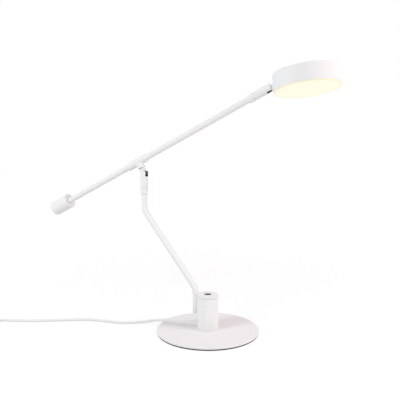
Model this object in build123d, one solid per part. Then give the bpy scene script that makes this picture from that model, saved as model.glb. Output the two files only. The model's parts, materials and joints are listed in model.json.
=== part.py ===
from build123d import *
import math
import os

# A counterweight balance desk lamp: a weighted round base with a short post, a bent stem,
# a long arm balanced on a tilting and swivelling joint, and a flat drum head on a second one.
# Millimetres. The origin is the base's centre on the table, +X points towards the head, +Z is up.

# ---------------------------------------------------------------- driving dimensions

# Base
BASE_DIA = 190.0
BASE_TOP = 6.0
PAD_THICK = 2.5
PAD_INSET = 1.0
PLATE_EDGE = 0.6
PAD_EDGE = 0.4

# Post
POST_DIA = 40.0
POST_TOP = 71.5
POST_WALL = 2.2
POST_FLOOR = 4.0
CAP_SEAT = 66.4
CAP_SEAM = 0.3
CAP_SEAM_DEPTH = 0.6
CAP_PLATE = 2.4
CAP_SPIGOT = 3.0
CAP_SPIGOT_WALL = 1.8
CAP_SPIGOT_GAP = 0.2
CAP_EDGE = 0.4
FLUTE_GAP = 0.3
FLUTE_RIB_WIDE = 8.0
FLUTE_RIB_THICK = 0.6

# Key in the cap
KEY_DIA = 13.0
KEY_GAP = 0.3
KEY_BELOW_TOP = 0.1
KEY_FLANGE = 1.7
KEY_FLANGE_THICK = 1.1
KEY_DISH = 0.5
KEY_EDGE = 0.4
PLUNGER_DIA = 3.4

# What the post holds
PILLAR_RADIUS = 3.0
PILLAR_CIRCLE = 13.5
PILLAR_ANGLES = (20.0, 120.0, 290.0)
BOARD_LEVEL = 52.0
BOARD_THICK = 1.6
BOARD_DIA = 31.0
SWITCH_WIDE = 7.0
SWITCH_TALL = 4.3
SWITCH_BORE_DEPTH = 3.2
SWITCH_ENGAGED = 1.6
SWITCH_BORE_GAP = 0.1
DRIVER_WIDE = 14.0
DRIVER_TALL = 30.0
POST_SCREW_RADIUS = 1.45
POST_SCREW_LENGTH = 12.0
POST_SCREW_HEAD = 2.8
BOARD_SCREW_RADIUS = 0.95
BOARD_SCREW_LENGTH = 6.0
BOARD_SCREW_HEAD = 1.9
BOARD_SCREW_HEAD_TALL = 1.3

# Stem
STEM_DIA = 12.0
STEM_WALL = 1.2
STEM_BACK = 24.7
STEM_FIRST_BEND = 78.8
STEM_SECOND_BEND = 221.8
STEM_BEND_RADIUS = 32.0
STEM_FOOT = 33.0
INSERT_LENGTH = 18.0
STEM_SCREW_RADIUS = 1.5
STEM_SCREW_LENGTH = 11.0
STEM_SCREW_HEAD = 2.75
STEM_SCREW_HEAD_TALL = 3.0
STEM_SCREW_STEPS = (5.0, 13.5)
LEAD_DIA = 3.2
LEAD_HOLE = 4.4
LEAD_BEND = 5.0
LEAD_PAST_SPINDLE = 1.0

# Joints: both have the same turned parts
AXIS_BACK = 136.7
SEAM_LEVEL = 265.0
COLLAR_DIA = 15.0
LOWER_COLLAR = 11.5
UPPER_COLLAR = 11.1
COLLAR_WEB = 4.0
COLLAR_CHAMFER = 0.8
BARREL_DIA = 15.2
BARREL_LENGTH = 33.5
BARREL_EDGE = 1.6
SEAM_GAP = 0.4
SPINDLE_DIA = 7.0
SPINDLE_TOP_DIA = 5.4
SPINDLE_BORE = 3.6
SHOULDER = 13.0
WASHER_THICK = 0.5
NUT_TALL = 4.2
NUT_DIA = 9.0
NUT_SLOT_WIDE = 1.2
NUT_SLOT_DEEP = 1.0
SLOT_WIDE = 9.6
SLOT_DEEP = 10.0
PIVOT_BELOW_TOP = 5.0
PIVOT_DIA = 4.0
PIVOT_HEAD_DIA = 6.2
PIVOT_HEAD_TALL = 1.2
PIVOT_RECESS = 1.7
PIVOT_BLIND = 1.2
PIVOT_END_GAP = 0.1
RUNNING = 0.05
FIT = 0.05
HEAD_ROOM = 0.2
STOP_LEVEL = 6.0
STOP_GROOVE_WIDE = 2.4
STOP_GROOVE_DEEP = 0.9
STOP_WEB_ANGLE = 20.0
STOP_SCREW_RADIUS = 1.5
STOP_POINT_RADIUS = 0.8
STOP_POINT_GAP = 0.1
STOP_SHANK_GAP = 0.3
LOCK_SCREW_SUNK = 0.5
SLEEVE_SCREW_SUNK = 0.3
SEAM_WASHER_INSET = 0.8

# Hexagon sockets: corner radius and depth
PIVOT_SOCKET = (1.45, 0.8)
STOP_SOCKET = (0.85, 1.0)
SLEEVE_SOCKET = (1.1, 0.8)
STEM_SOCKET = (1.4, 1.4)
WEIGHT_SOCKET = (2.3, 2.2)

# Tongues
TONGUE_THICK = 8.0
TONGUE_WIDE = 9.2
TILT_WASHER_GAP = 0.1
TILT_WASHER_INSET = 0.2
TILT_WASHER_BORE_GAP = 0.1
SPIGOT_DIA = 8.0
SPIGOT_LENGTH = 4.8
LOCK_SCREW_RADIUS = 1.5
LOCK_SCREW_LEVEL = 3.0

# Arm
ARM_ELEVATION = 25.7
ARM_ABOVE_PIVOT = 25.86
ARM_DIA = 11.5
ARM_WALL = 1.0
STUB_END = 12.2
STUB_DIA = 15.2
STUB_LIP = 1.0
STUB_RECESS = 1.2
SLEEVE_DIA = 15.4
SLEEVE_REAR = -28.55
SLEEVE_FRONT = 17.55
SLEEVE_CHAMFER = 0.6
SLEEVE_SCREW_PLACE = -20.0
SLEEVE_SCREW_RADIUS = 2.0

# Counterweight
WEIGHT_DIA = 30.0
WEIGHT_REAR = -236.35
WEIGHT_LENGTH = 43.7
WEIGHT_EDGE = 2.0
WEIGHT_FRONT_EDGE = 0.6
WEIGHT_RECESS_DIA = 17.0
WEIGHT_RECESS = 1.2
WEIGHT_WEB = 2.5
WEIGHT_COUNTERBORE = 5.4
WEIGHT_SCREW_HEAD = 4.4
WEIGHT_SCREW_HEAD_TALL = 4.2
WEIGHT_SCREW_RADIUS = 2.5
WEIGHT_SCREW_LENGTH = 12.0
END_PLUG_LENGTH = 13.0

# Head
UPPER_SEAM = 262.45
HEAD_TWIST = -5.27
HEAD_TILT = 17.34
DRUM_REACH = 65.75
DRUM_DIA = 110.6
DRUM_WALL = 1.6
DRUM_TOP_WALL = 1.8
DRUM_ABOVE = 14.1
DRUM_BELOW = 14.4
DRUM_EDGE = 0.8
LEDGE_LEVEL = -5.5
LEDGE_WIDE = 2.0
LEDGE_TALL = 2.0
SPREADER_THICK = 1.5
SPREADER_GAP = 0.3
LED_BOARD_THICK = 1.6
LED_BOARD_INSET = 21.3
LED_EDGE_MARGIN = 4.0
LED_RING_COUNTS = (6, 12, 18)
LED_SIZE = 2.8
LED_TALL = 0.7
DIFFUSER_THICK = 1.5
DIFFUSER_INSET = 0.5
DIFFUSER_EDGE = 0.5
DIFFUSER_SPIGOT = 3.0
DIFFUSER_SPIGOT_WALL = 1.5
WINDOW_GAP = 0.2
FOOT_THICK = 3.0
FOOT_INSET = 5.55
FOOT_LENGTH = 16.0
FOOT_OVERLAP = 4.0
FOOT_WIDE = 24.0
HINGE_SCREW_STEP = 10.0
HINGE_SCREW_SPREAD = 7.0
HEAD_BOSS_RADIUS = 3.5
HEAD_BOSS_CIRCLE = 44.0
HEAD_BOSS_ANGLES = (0.0, 120.0, 240.0)
SMALL_SCREW_RADIUS = 1.45
SMALL_SCREW_HEAD = 2.7
SMALL_SCREW_HEAD_TALL = 1.4
HINGE_SCREW_LENGTH = 4.6
HEAD_SCREW_LENGTH = 10.0

# Cord
CORD_DIA = 5.0
CORD_LEVEL = 22.0
CORD_DIRECTION = 206.0
RELIEF_OUTSIDE = 18.0
RELIEF_ROOT = 3.8
RELIEF_TIP = 3.1
RELIEF_NECK = 3.4
RELIEF_FLANGE = 4.8
RELIEF_FLANGE_THICK = 1.5
RELIEF_FLANGE_SEAT = 0.7
RELIEF_COLLAR = 6.2
RELIEF_COLLAR_SUNK = 1.0
RELIEF_COLLAR_PROUD = 1.3
CORD_GAP = 0.05
CORD_STRAIGHT = 11.0
CORD_ROUTE = (
    (-59.0, -23.5, 20.9),
    (-76.0, -21.5, 17.8),
    (-94.0, -17.8, 13.4),
    (-112.0, -14.6, 8.7),
    (-130.0, -16.2, 4.5),
    (-147.0, -24.5, 2.7),
    (-165.0, -35.5, 2.6),
    (-184.0, -40.5, 2.6),
    (-207.0, -42.5, 2.6),
    (-232.0, -48.0, 2.6),
    (-256.0, -58.0, 2.6),
    (-282.0, -73.0, 2.6),
    (-307.0, -89.0, 2.6),
    (-335.0, -105.0, 2.6),
    (-363.0, -118.0, 2.8),
    (-393.0, -130.0, 3.4),
    (-420.0, -140.8, 3.4),
)
COIL_PITCH = 5.5
COIL_START_RADIUS = 38.5
COIL_HALF_TURNS_IN = 8
COIL_HALF_TURNS_OUT = 7
COIL_LAYER = 5.5
COIL_CLIMB_INSET = 1.5
TAIL_LENGTH = 24.0
TIE_WIDE = 8.0
TIE_THICK = 0.7
TIE_GAP = 0.2
TIE_ANGLE = 20.0
PLUG_BOOT = 14.0
PLUG_BOOT_RADIUS = 3.5
PLUG_LENGTH = 22.0
PLUG_WIDE = 29.0
PLUG_THICK = 17.0
PLUG_CORNER = 6.0
PLUG_BOOT_FLARE = 2.5
PLUG_SHOULDER_ROUND = 3.0
PIN_DIA = 4.0
PIN_LENGTH = 19.0
PIN_SPACING = 19.0
PIN_SUNK = 6.0
PIN_TIP_ROUND = 1.2

# ---------------------------------------------------------------- worked-out sizes

BASE_RADIUS = BASE_DIA / 2
PAD_RADIUS = BASE_RADIUS - PAD_INSET
POST_RADIUS = POST_DIA / 2
STEM_RADIUS = STEM_DIA / 2
STEM_INNER = STEM_RADIUS - STEM_WALL
STUB_FLOOR = STUB_END + STUB_RECESS
BARREL_RADIUS = BARREL_DIA / 2
ARM_RADIUS = ARM_DIA / 2
ARM_INNER = ARM_RADIUS - ARM_WALL
DRUM_RADIUS = DRUM_DIA / 2
DRUM_INNER = DRUM_RADIUS - DRUM_WALL
LEAD_LEVEL = BOARD_LEVEL + BOARD_THICK + LEAD_DIA / 2 + FIT
LEAD_START = SWITCH_WIDE / 2 + FIT
SLOT_FLOOR = BARREL_LENGTH - SLOT_DEEP
PIVOT_LEVEL = BARREL_LENGTH - PIVOT_BELOW_TOP
COUNTERBORE_DIA = SLOT_WIDE
NUT_BOTTOM = SHOULDER + RUNNING + WASHER_THICK
SPINDLE_TOP = NUT_BOTTOM + NUT_TALL
HALF_SLOT = SLOT_WIDE / 2
HALF_TONGUE = TONGUE_THICK / 2
CORD_RADIUS = CORD_DIA / 2
WEIGHT_FRONT = WEIGHT_REAR + WEIGHT_LENGTH
TUBE_REAR = WEIGHT_REAR + WEIGHT_COUNTERBORE + WEIGHT_WEB + RUNNING
FOOT_START = DRUM_REACH - DRUM_RADIUS + FOOT_INSET
FOOT_END = FOOT_START + FOOT_LENGTH
HINGE_SCREW_PLACE = FOOT_START + HINGE_SCREW_STEP
SPREADER_BOTTOM = LEDGE_LEVEL - SPREADER_THICK
LED_BOARD_BOTTOM = SPREADER_BOTTOM - LED_BOARD_THICK
LED_BOARD_RADIUS = DRUM_RADIUS - LED_BOARD_INSET
LED_RING_STEP = (LED_BOARD_RADIUS - LED_EDGE_MARGIN) / len(LED_RING_COUNTS)
DIFFUSER_RADIUS = DRUM_RADIUS - DIFFUSER_INSET

LOWER_JOINT = Pos(-AXIS_BACK, 0, SEAM_LEVEL)
ARM_PLACE = Pos(-AXIS_BACK, 0, SEAM_LEVEL + PIVOT_LEVEL) * Rot(0, -ARM_ELEVATION, 0)
UPPER_JOINT = ARM_PLACE * Pos(UPPER_SEAM, 0, ARM_ABOVE_PIVOT) * Rot(HEAD_TWIST, 0, 0) * Rot(0, 90, 0)
HEAD_PLACE = UPPER_JOINT * Pos(0, 0, PIVOT_LEVEL) * Rot(0, -90, 0) * Rot(0, HEAD_TILT, 0)
DRUM_PLACE = Pos(DRUM_REACH, 0, 0)


# ---------------------------------------------------------------- shared shapes

def disc(radius, bottom, top):
    """Round solid about Z between two levels."""
    return Pos(0, 0, bottom) * extrude(Circle(radius), amount=top - bottom)


def ring(outer, inner, bottom, top):
    """Round ring about Z between two levels."""
    return disc(outer, bottom, top) - disc(inner, bottom - 1, top + 1)


def along_y(radius, start, end):
    """Round solid about Y between two places."""
    return Rot(-90, 0, 0) * disc(radius, start, end)


def along_x(radius, start, end):
    """Round solid about X between two places."""
    return Rot(0, 90, 0) * disc(radius, start, end)


def block(low, high):
    """Box between two corners."""
    size = [high[i] - low[i] for i in range(3)]
    middle = [(high[i] + low[i]) / 2 for i in range(3)]
    return Pos(*middle) * Box(*size)


def turned(*profile):
    """Solid of revolution about Z from (radius, level) corners."""
    outline = make_face(Polyline(*[(r, 0, z) for r, z in profile], close=True))
    return revolve(outline, axis=Axis.Z)


def around(radius, angle):
    """Place on a circle about Z."""
    return Rot(0, 0, angle) * Pos(radius, 0, 0)


def pan_screw(shank, length, head, head_tall):
    """Screw along +Z, its head below the level z = 0."""
    return disc(shank, -0.1, length) + disc(head, -head_tall, 0)


def hex_socket(size):
    """Hexagonal cutter from z = 0 upwards, from a socket's corner radius and depth."""
    radius, depth = size
    return extrude(RegularPolygon(radius=radius, side_count=6), amount=depth)


def flat_screw(shank, length, head, grow=0.0):
    """Countersunk screw along +Z with its flat head at z = 0, or its hole, grown by a clearance."""
    cone = head - shank
    return turned(
        (0, 0),
        (head + grow, 0),
        (shank + grow, cone),
        (shank + grow, length + grow),
        (0, length + grow),
    )


def tube_along(path, outer, inner=0.0):
    """Round tube or rod swept along a path."""
    section = Plane(origin=path @ 0, z_dir=path % 0) * Circle(outer)
    if inner > 0:
        section -= Plane(origin=path @ 0, z_dir=path % 0) * Circle(inner)
    return sweep(section, path=path)


def edges_at(solid, level, radius):
    """Round edges about Z at one level with one radius."""
    found = []
    for edge in solid.edges().filter_by(GeomType.CIRCLE):
        middle = edge.arc_center
        if abs(middle.Z - level) < 1e-3 and abs(edge.radius - radius) < 1e-3:
            found.append(edge)
    return found


# ---------------------------------------------------------------- base and post

def flute(grow):
    """Upright round cutter where the stem lies in the post, from the stem's foot up."""
    return Pos(-STEM_BACK, 0, 0) * disc(STEM_RADIUS + grow, STEM_FOOT, POST_TOP + 1)


def base_pad():
    pad = disc(PAD_RADIUS, 0, PAD_THICK)
    return fillet(edges_at(pad, 0, PAD_RADIUS), PAD_EDGE)


def base_plate():
    plate = disc(BASE_RADIUS, PAD_THICK, BASE_TOP)
    plate = fillet(edges_at(plate, BASE_TOP, BASE_RADIUS), PLATE_EDGE)
    for angle in PILLAR_ANGLES:
        hole = flat_screw(POST_SCREW_RADIUS, BASE_TOP, POST_SCREW_HEAD, HEAD_ROOM)
        plate -= around(PILLAR_CIRCLE, angle) * Pos(0, 0, PAD_THICK) * hole
    return plate


def post_screws():
    screw = Pos(0, 0, PAD_THICK) * flat_screw(POST_SCREW_RADIUS, POST_SCREW_LENGTH, POST_SCREW_HEAD)
    return [around(PILLAR_CIRCLE, angle) * screw for angle in PILLAR_ANGLES]


def stem_screw_seat():
    """Where the stem screws' heads bear, on the flat rib inside the flute's wall."""
    return -STEM_BACK + STEM_RADIUS + FLUTE_GAP + POST_WALL + FLUTE_RIB_THICK


def stem_rib():
    half = FLUTE_RIB_WIDE / 2
    low = (-STEM_BACK, -half, STEM_FOOT - POST_WALL)
    return block(low, (stem_screw_seat(), half, STEM_FOOT + INSERT_LENGTH))


def cord_axis():
    """Frame whose +Z runs out of the post along the cord."""
    turn = math.radians(CORD_DIRECTION)
    outward = (math.cos(turn), math.sin(turn), 0)
    return Plane(origin=(0, 0, CORD_LEVEL), x_dir=(0, 0, 1), z_dir=outward).location


def post_housing():
    inside = POST_RADIUS - POST_WALL
    body = disc(POST_RADIUS, BASE_TOP, CAP_SEAT)
    wall = flute(FLUTE_GAP + POST_WALL) + Pos(0, 0, -POST_WALL) * flute(FLUTE_GAP + POST_WALL)
    hollow = disc(inside, BASE_TOP + POST_FLOOR, CAP_SEAT + 1) - wall - stem_rib()
    body -= hollow
    body -= flute(FLUTE_GAP)
    for angle in PILLAR_ANGLES:
        pillar = disc(PILLAR_RADIUS, BASE_TOP, BOARD_LEVEL)
        body += around(PILLAR_CIRCLE, angle) * pillar
    for angle in PILLAR_ANGLES:
        lower = disc(POST_SCREW_RADIUS + FIT, BASE_TOP - 1, PAD_THICK + POST_SCREW_LENGTH + HEAD_ROOM)
        upper = disc(BOARD_SCREW_RADIUS + FIT, BOARD_LEVEL - BOARD_SCREW_LENGTH, BOARD_LEVEL + 1)
        body -= around(PILLAR_CIRCLE, angle) * (lower + upper)
    body -= ring(POST_RADIUS + 1, POST_RADIUS - CAP_SEAM_DEPTH, CAP_SEAT - CAP_SEAM, CAP_SEAT + 1)
    body -= cord_axis() * disc(RELIEF_NECK + FIT, inside / 2, POST_RADIUS + 1)
    body -= cord_axis() * disc(RELIEF_FLANGE + FIT, inside / 2, inside - RELIEF_FLANGE_SEAT)
    body -= cord_axis() * disc(RELIEF_COLLAR + FIT, POST_RADIUS - RELIEF_COLLAR_SUNK, POST_RADIUS + 1)
    body -= Pos(0, 0, LEAD_LEVEL) * along_x(LEAD_HOLE / 2, -STEM_BACK, -inside / 2)
    for step in STEM_SCREW_STEPS:
        body -= Pos(0, 0, STEM_FOOT + step) * along_x(STEM_SCREW_RADIUS + FIT, -STEM_BACK, -inside / 2)
    return body


def post_cap():
    inside = POST_RADIUS - POST_WALL
    spigot = inside - CAP_SPIGOT_GAP
    body = disc(POST_RADIUS, CAP_SEAT, POST_TOP)
    body = fillet(edges_at(body, POST_TOP, POST_RADIUS), CAP_EDGE)
    body += disc(spigot, CAP_SEAT - CAP_SPIGOT, CAP_SEAT)
    body -= disc(spigot - CAP_SPIGOT_WALL, CAP_SEAT - CAP_SPIGOT - 1, POST_TOP - CAP_PLATE)
    keep_wall = Pos(-STEM_BACK, 0, 0)
    body -= keep_wall * disc(STEM_RADIUS + FLUTE_GAP + POST_WALL + FIT, CAP_SEAT - CAP_SPIGOT - 1, CAP_SEAT)
    body -= flute(FLUTE_GAP)
    body -= disc(KEY_DIA / 2 + KEY_GAP, CAP_SEAT, POST_TOP + 1)
    return body


def dimmer_key():
    top = POST_TOP - KEY_BELOW_TOP
    flange_top = POST_TOP - CAP_PLATE - RUNNING
    radius = KEY_DIA / 2
    key = disc(radius, flange_top - KEY_FLANGE_THICK, top)
    key = fillet(edges_at(key, top, radius), KEY_EDGE)
    key += disc(radius + KEY_FLANGE, flange_top - KEY_FLANGE_THICK, flange_top)
    dish_radius = (radius ** 2 + KEY_DISH ** 2) / (2 * KEY_DISH)
    return key - Pos(0, 0, top + dish_radius - KEY_DISH) * Sphere(dish_radius)


def switch_plunger():
    key_bottom = POST_TOP - CAP_PLATE - RUNNING - KEY_FLANGE_THICK
    switch_top = BOARD_LEVEL + BOARD_THICK + SWITCH_TALL
    return disc(PLUNGER_DIA / 2, switch_top - SWITCH_ENGAGED, key_bottom)


def dimmer_board():
    board = disc(BOARD_DIA / 2, BOARD_LEVEL, BOARD_LEVEL + BOARD_THICK)
    for angle in PILLAR_ANGLES:
        board -= around(PILLAR_CIRCLE, angle) * disc(BOARD_SCREW_RADIUS + FIT, BOARD_LEVEL - 1, POST_TOP)
    return board


def board_screws():
    screw = pan_screw(BOARD_SCREW_RADIUS, BOARD_SCREW_LENGTH, BOARD_SCREW_HEAD, BOARD_SCREW_HEAD_TALL)
    screw = Pos(0, 0, BOARD_LEVEL + BOARD_THICK) * Rot(180, 0, 0) * screw
    return [around(PILLAR_CIRCLE, angle) * screw for angle in PILLAR_ANGLES]


def tact_switch():
    bottom = BOARD_LEVEL + BOARD_THICK
    top = bottom + SWITCH_TALL
    half = SWITCH_WIDE / 2
    body = block((-half, -half, bottom), (half, half, top))
    return body - disc(PLUNGER_DIA / 2 + SWITCH_BORE_GAP, top - SWITCH_BORE_DEPTH, top + 1)


def led_driver():
    half = DRIVER_WIDE / 2
    floor = BASE_TOP + POST_FLOOR
    body = block((-half, -half, floor), (half, half, floor + DRIVER_TALL))
    return Rot(0, 0, CORD_DIRECTION) * body


def strain_relief():
    wall = POST_RADIUS - POST_WALL
    body = turned(
        (CORD_RADIUS + CORD_GAP, wall - RELIEF_FLANGE_THICK),
        (RELIEF_FLANGE, wall - RELIEF_FLANGE_THICK),
        (RELIEF_FLANGE, wall - RELIEF_FLANGE_SEAT),
        (RELIEF_NECK, wall - RELIEF_FLANGE_SEAT),
        (RELIEF_NECK, POST_RADIUS - RELIEF_COLLAR_SUNK),
        (RELIEF_COLLAR, POST_RADIUS - RELIEF_COLLAR_SUNK),
        (RELIEF_COLLAR, POST_RADIUS + RELIEF_COLLAR_PROUD),
        (RELIEF_ROOT, POST_RADIUS + RELIEF_COLLAR_PROUD),
        (RELIEF_TIP, POST_RADIUS + RELIEF_OUTSIDE),
        (CORD_RADIUS + CORD_GAP, POST_RADIUS + RELIEF_OUTSIDE),
    )
    return cord_axis() * body


def supply_lead():
    return cord_axis() * disc(CORD_RADIUS, DRIVER_WIDE / 2 + FIT, POST_RADIUS + RELIEF_OUTSIDE)


# ---------------------------------------------------------------- stem

def stem_corners(bottom, top):
    """Corners of the stem's middle line."""
    return [
        (-STEM_BACK, 0, bottom),
        (-STEM_BACK, 0, STEM_FIRST_BEND),
        (-AXIS_BACK, 0, STEM_SECOND_BEND),
        (-AXIS_BACK, 0, top),
    ]


def stem_tube():
    path = FilletPolyline(*stem_corners(STEM_FOOT, SEAM_LEVEL - COLLAR_WEB), radius=STEM_BEND_RADIUS)
    tube = tube_along(path, STEM_RADIUS, STEM_INNER)
    for step in STEM_SCREW_STEPS:
        tube -= Pos(0, 0, STEM_FOOT + step) * along_x(STEM_SCREW_RADIUS + FIT, -STEM_BACK, 0)
    return tube - Pos(0, 0, LEAD_LEVEL) * along_x(LEAD_HOLE / 2, -STEM_BACK, 0)


def stem_insert():
    """Solid plug that closes the stem's foot and takes the two screws from inside the post."""
    plug = Pos(-STEM_BACK, 0, 0) * disc(STEM_INNER - FIT, STEM_FOOT, STEM_FOOT + INSERT_LENGTH)
    end = stem_screw_seat() - STEM_SCREW_LENGTH - HEAD_ROOM
    for step in STEM_SCREW_STEPS:
        plug -= Pos(0, 0, STEM_FOOT + step) * along_x(STEM_SCREW_RADIUS + FIT, end, 0)
    return plug


def stem_screws():
    screw = pan_screw(STEM_SCREW_RADIUS, STEM_SCREW_LENGTH, STEM_SCREW_HEAD, STEM_SCREW_HEAD_TALL)
    screw -= Pos(0, 0, -STEM_SCREW_HEAD_TALL) * hex_socket(STEM_SOCKET)
    place = Pos(stem_screw_seat(), 0, STEM_FOOT) * Rot(0, -90, 0)
    return [Pos(0, 0, step) * place * screw for step in STEM_SCREW_STEPS]


def stem_lead():
    top = SEAM_LEVEL + SPINDLE_TOP + LEAD_PAST_SPINDLE
    points = [(-LEAD_START, 0, LEAD_LEVEL), *stem_corners(LEAD_LEVEL, top)]
    path = FilletPolyline(*points, radius=[LEAD_BEND, STEM_BEND_RADIUS, STEM_BEND_RADIUS])
    return tube_along(path, LEAD_DIA / 2)


# ---------------------------------------------------------------- joint parts, each about its own +Z

def spindle_collar(length, tube_radius):
    """Collar that holds a tube, with the hollow spindle on which the barrel turns."""
    radius = COLLAR_DIA / 2
    body = disc(radius, -length, 0)
    body = chamfer(edges_at(body, -length, radius), COLLAR_CHAMFER)
    body -= disc(tube_radius + FIT, -length - 1, -COLLAR_WEB)
    body += disc(SPINDLE_DIA / 2, -COLLAR_WEB, SHOULDER + RUNNING)
    body += disc(SPINDLE_TOP_DIA / 2, SHOULDER, SPINDLE_TOP)
    body -= disc(SPINDLE_BORE / 2, -length - 1, SPINDLE_TOP + 1)
    half = STOP_GROOVE_WIDE / 2
    floor = SPINDLE_DIA / 2 - STOP_GROOVE_DEEP
    groove = ring(SPINDLE_DIA / 2 + 1, floor, STOP_LEVEL - half, STOP_LEVEL + half)
    sweep_angle = 360 - STOP_WEB_ANGLE
    wedge = Rot(0, 0, -90 + STOP_WEB_ANGLE / 2) * revolve(
        Plane.XZ * Pos(SPINDLE_DIA, STOP_LEVEL) * Rectangle(2 * SPINDLE_DIA, STOP_GROOVE_WIDE + 2),
        axis=Axis.Z,
        revolution_arc=sweep_angle,
    )
    return body - (groove & wedge)


def seam_washer():
    return ring(COLLAR_DIA / 2 - SEAM_WASHER_INSET, SPINDLE_DIA / 2 + RUNNING, 0, SEAM_GAP - RUNNING)


def swivel_washer():
    bottom = SHOULDER + RUNNING
    return ring(NUT_DIA / 2, SPINDLE_TOP_DIA / 2 + FIT, bottom, bottom + WASHER_THICK)


def swivel_nut():
    nut = ring(NUT_DIA / 2, SPINDLE_TOP_DIA / 2 + FIT, NUT_BOTTOM, NUT_BOTTOM + NUT_TALL)
    half = NUT_SLOT_WIDE / 2
    slot = block((-NUT_DIA, -half, SPINDLE_TOP - NUT_SLOT_DEEP), (NUT_DIA, half, SPINDLE_TOP + 1))
    return nut - slot


def clevis():
    """Slotted barrel: bored for the spindle, counterbored for the nut, drilled for the pivot screw."""
    body = disc(BARREL_RADIUS, SEAM_GAP, BARREL_LENGTH)
    body = fillet(edges_at(body, BARREL_LENGTH, BARREL_RADIUS), BARREL_EDGE)
    body -= disc(SPINDLE_DIA / 2 + RUNNING, SEAM_GAP - 1, SHOULDER + 1)
    body -= disc(COUNTERBORE_DIA / 2, SHOULDER, SLOT_FLOOR + 1)
    reach = BARREL_RADIUS + 1
    body -= block((-reach, -HALF_SLOT, SLOT_FLOOR), (reach, HALF_SLOT, BARREL_LENGTH + 1))
    pivot_hole = along_y(PIVOT_DIA / 2 + FIT, -BARREL_RADIUS + PIVOT_BLIND, BARREL_RADIUS + 1)
    recess = along_y(PIVOT_HEAD_DIA / 2 + HEAD_ROOM, BARREL_RADIUS - PIVOT_RECESS, BARREL_RADIUS + 1)
    body -= Pos(0, 0, PIVOT_LEVEL) * (pivot_hole + recess)
    body -= Pos(0, 0, STOP_LEVEL) * along_y(STOP_SCREW_RADIUS + FIT, 0, BARREL_RADIUS + 1)
    return body


def pivot_screw():
    seat = BARREL_RADIUS - PIVOT_RECESS
    top = seat + PIVOT_HEAD_TALL
    screw = along_y(PIVOT_DIA / 2, -BARREL_RADIUS + PIVOT_BLIND + PIVOT_END_GAP, seat)
    screw += along_y(PIVOT_HEAD_DIA / 2, seat, top)
    screw -= Pos(0, top - PIVOT_SOCKET[1], 0) * Rot(-90, 0, 0) * hex_socket(PIVOT_SOCKET)
    return Pos(0, 0, PIVOT_LEVEL) * screw


def stop_screw():
    groove_floor = SPINDLE_DIA / 2 - STOP_GROOVE_DEEP
    shank_end = SPINDLE_DIA / 2 + STOP_SHANK_GAP
    top = BARREL_RADIUS - LOCK_SCREW_SUNK
    screw = along_y(STOP_SCREW_RADIUS, shank_end, top)
    screw += along_y(STOP_POINT_RADIUS, groove_floor + STOP_POINT_GAP, shank_end)
    screw -= Pos(0, top - STOP_SOCKET[1], 0) * Rot(-90, 0, 0) * hex_socket(STOP_SOCKET)
    return Pos(0, 0, STOP_LEVEL) * screw


def tilt_washers():
    near = HALF_TONGUE + TILT_WASHER_GAP
    outer = TONGUE_WIDE / 2 - TILT_WASHER_INSET
    bore = PIVOT_DIA / 2 + TILT_WASHER_BORE_GAP
    washer = along_y(outer, near, HALF_SLOT) - along_y(bore, near - 1, HALF_SLOT + 1)
    washer = Pos(0, 0, PIVOT_LEVEL) * washer
    return [washer, Rot(0, 0, 180) * washer]


def tongue(length):
    """Flat tongue along +X from the pivot at its origin, with a round end and the pivot bore."""
    body = along_y(TONGUE_WIDE / 2, -HALF_TONGUE, HALF_TONGUE)
    body += block((0, -HALF_TONGUE, -TONGUE_WIDE / 2), (length, HALF_TONGUE, TONGUE_WIDE / 2))
    return body - along_y(PIVOT_DIA / 2 + RUNNING, -TONGUE_THICK, TONGUE_THICK)


# ---------------------------------------------------------------- arm, about its pivot

def base_tongue():
    """Tongue up to the floor of the stub's recess, with the spigot that the stub's bore takes."""
    body = Rot(0, -90, 0) * tongue(STUB_FLOOR)
    return body + disc(SPIGOT_DIA / 2, STUB_FLOOR, STUB_END + SPIGOT_LENGTH)


def tongue_screw():
    place = Pos(0, 0, STUB_END + LOCK_SCREW_LEVEL)
    top = STUB_DIA / 2 - LOCK_SCREW_SUNK
    screw = along_y(LOCK_SCREW_RADIUS, SPIGOT_DIA / 2 + FIT, top)
    return place * (screw - Pos(0, top - STOP_SOCKET[1], 0) * Rot(-90, 0, 0) * hex_socket(STOP_SOCKET))


def arm_sleeve():
    radius = SLEEVE_DIA / 2
    sleeve = disc(radius, SLEEVE_REAR, SLEEVE_FRONT)
    ends = edges_at(sleeve, SLEEVE_REAR, radius) + edges_at(sleeve, SLEEVE_FRONT, radius)
    sleeve = Pos(0, 0, ARM_ABOVE_PIVOT) * Rot(0, 90, 0) * chamfer(ends, SLEEVE_CHAMFER)
    body = sleeve + disc(STUB_DIA / 2, STUB_END, ARM_ABOVE_PIVOT)
    body -= Pos(0, 0, ARM_ABOVE_PIVOT) * along_x(ARM_RADIUS + FIT, SLEEVE_REAR - 1, SLEEVE_FRONT + 1)
    body -= disc(STUB_DIA / 2 - STUB_LIP, STUB_END - 1, STUB_FLOOR)
    body -= disc(SPIGOT_DIA / 2 + FIT, STUB_END - 1, STUB_END + SPIGOT_LENGTH + HEAD_ROOM)
    lock = along_y(LOCK_SCREW_RADIUS + FIT, 0, STUB_DIA)
    body -= Pos(0, 0, STUB_END + LOCK_SCREW_LEVEL) * lock
    body -= Pos(SLEEVE_SCREW_PLACE, 0, ARM_ABOVE_PIVOT) * along_y(SLEEVE_SCREW_RADIUS + FIT, 0, SLEEVE_DIA)
    return body


def sleeve_screw():
    place = Pos(SLEEVE_SCREW_PLACE, 0, ARM_ABOVE_PIVOT)
    top = SLEEVE_DIA / 2 - SLEEVE_SCREW_SUNK
    screw = along_y(SLEEVE_SCREW_RADIUS, ARM_RADIUS + FIT, top)
    return place * (screw - Pos(0, top - SLEEVE_SOCKET[1], 0) * Rot(-90, 0, 0) * hex_socket(SLEEVE_SOCKET))


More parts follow.
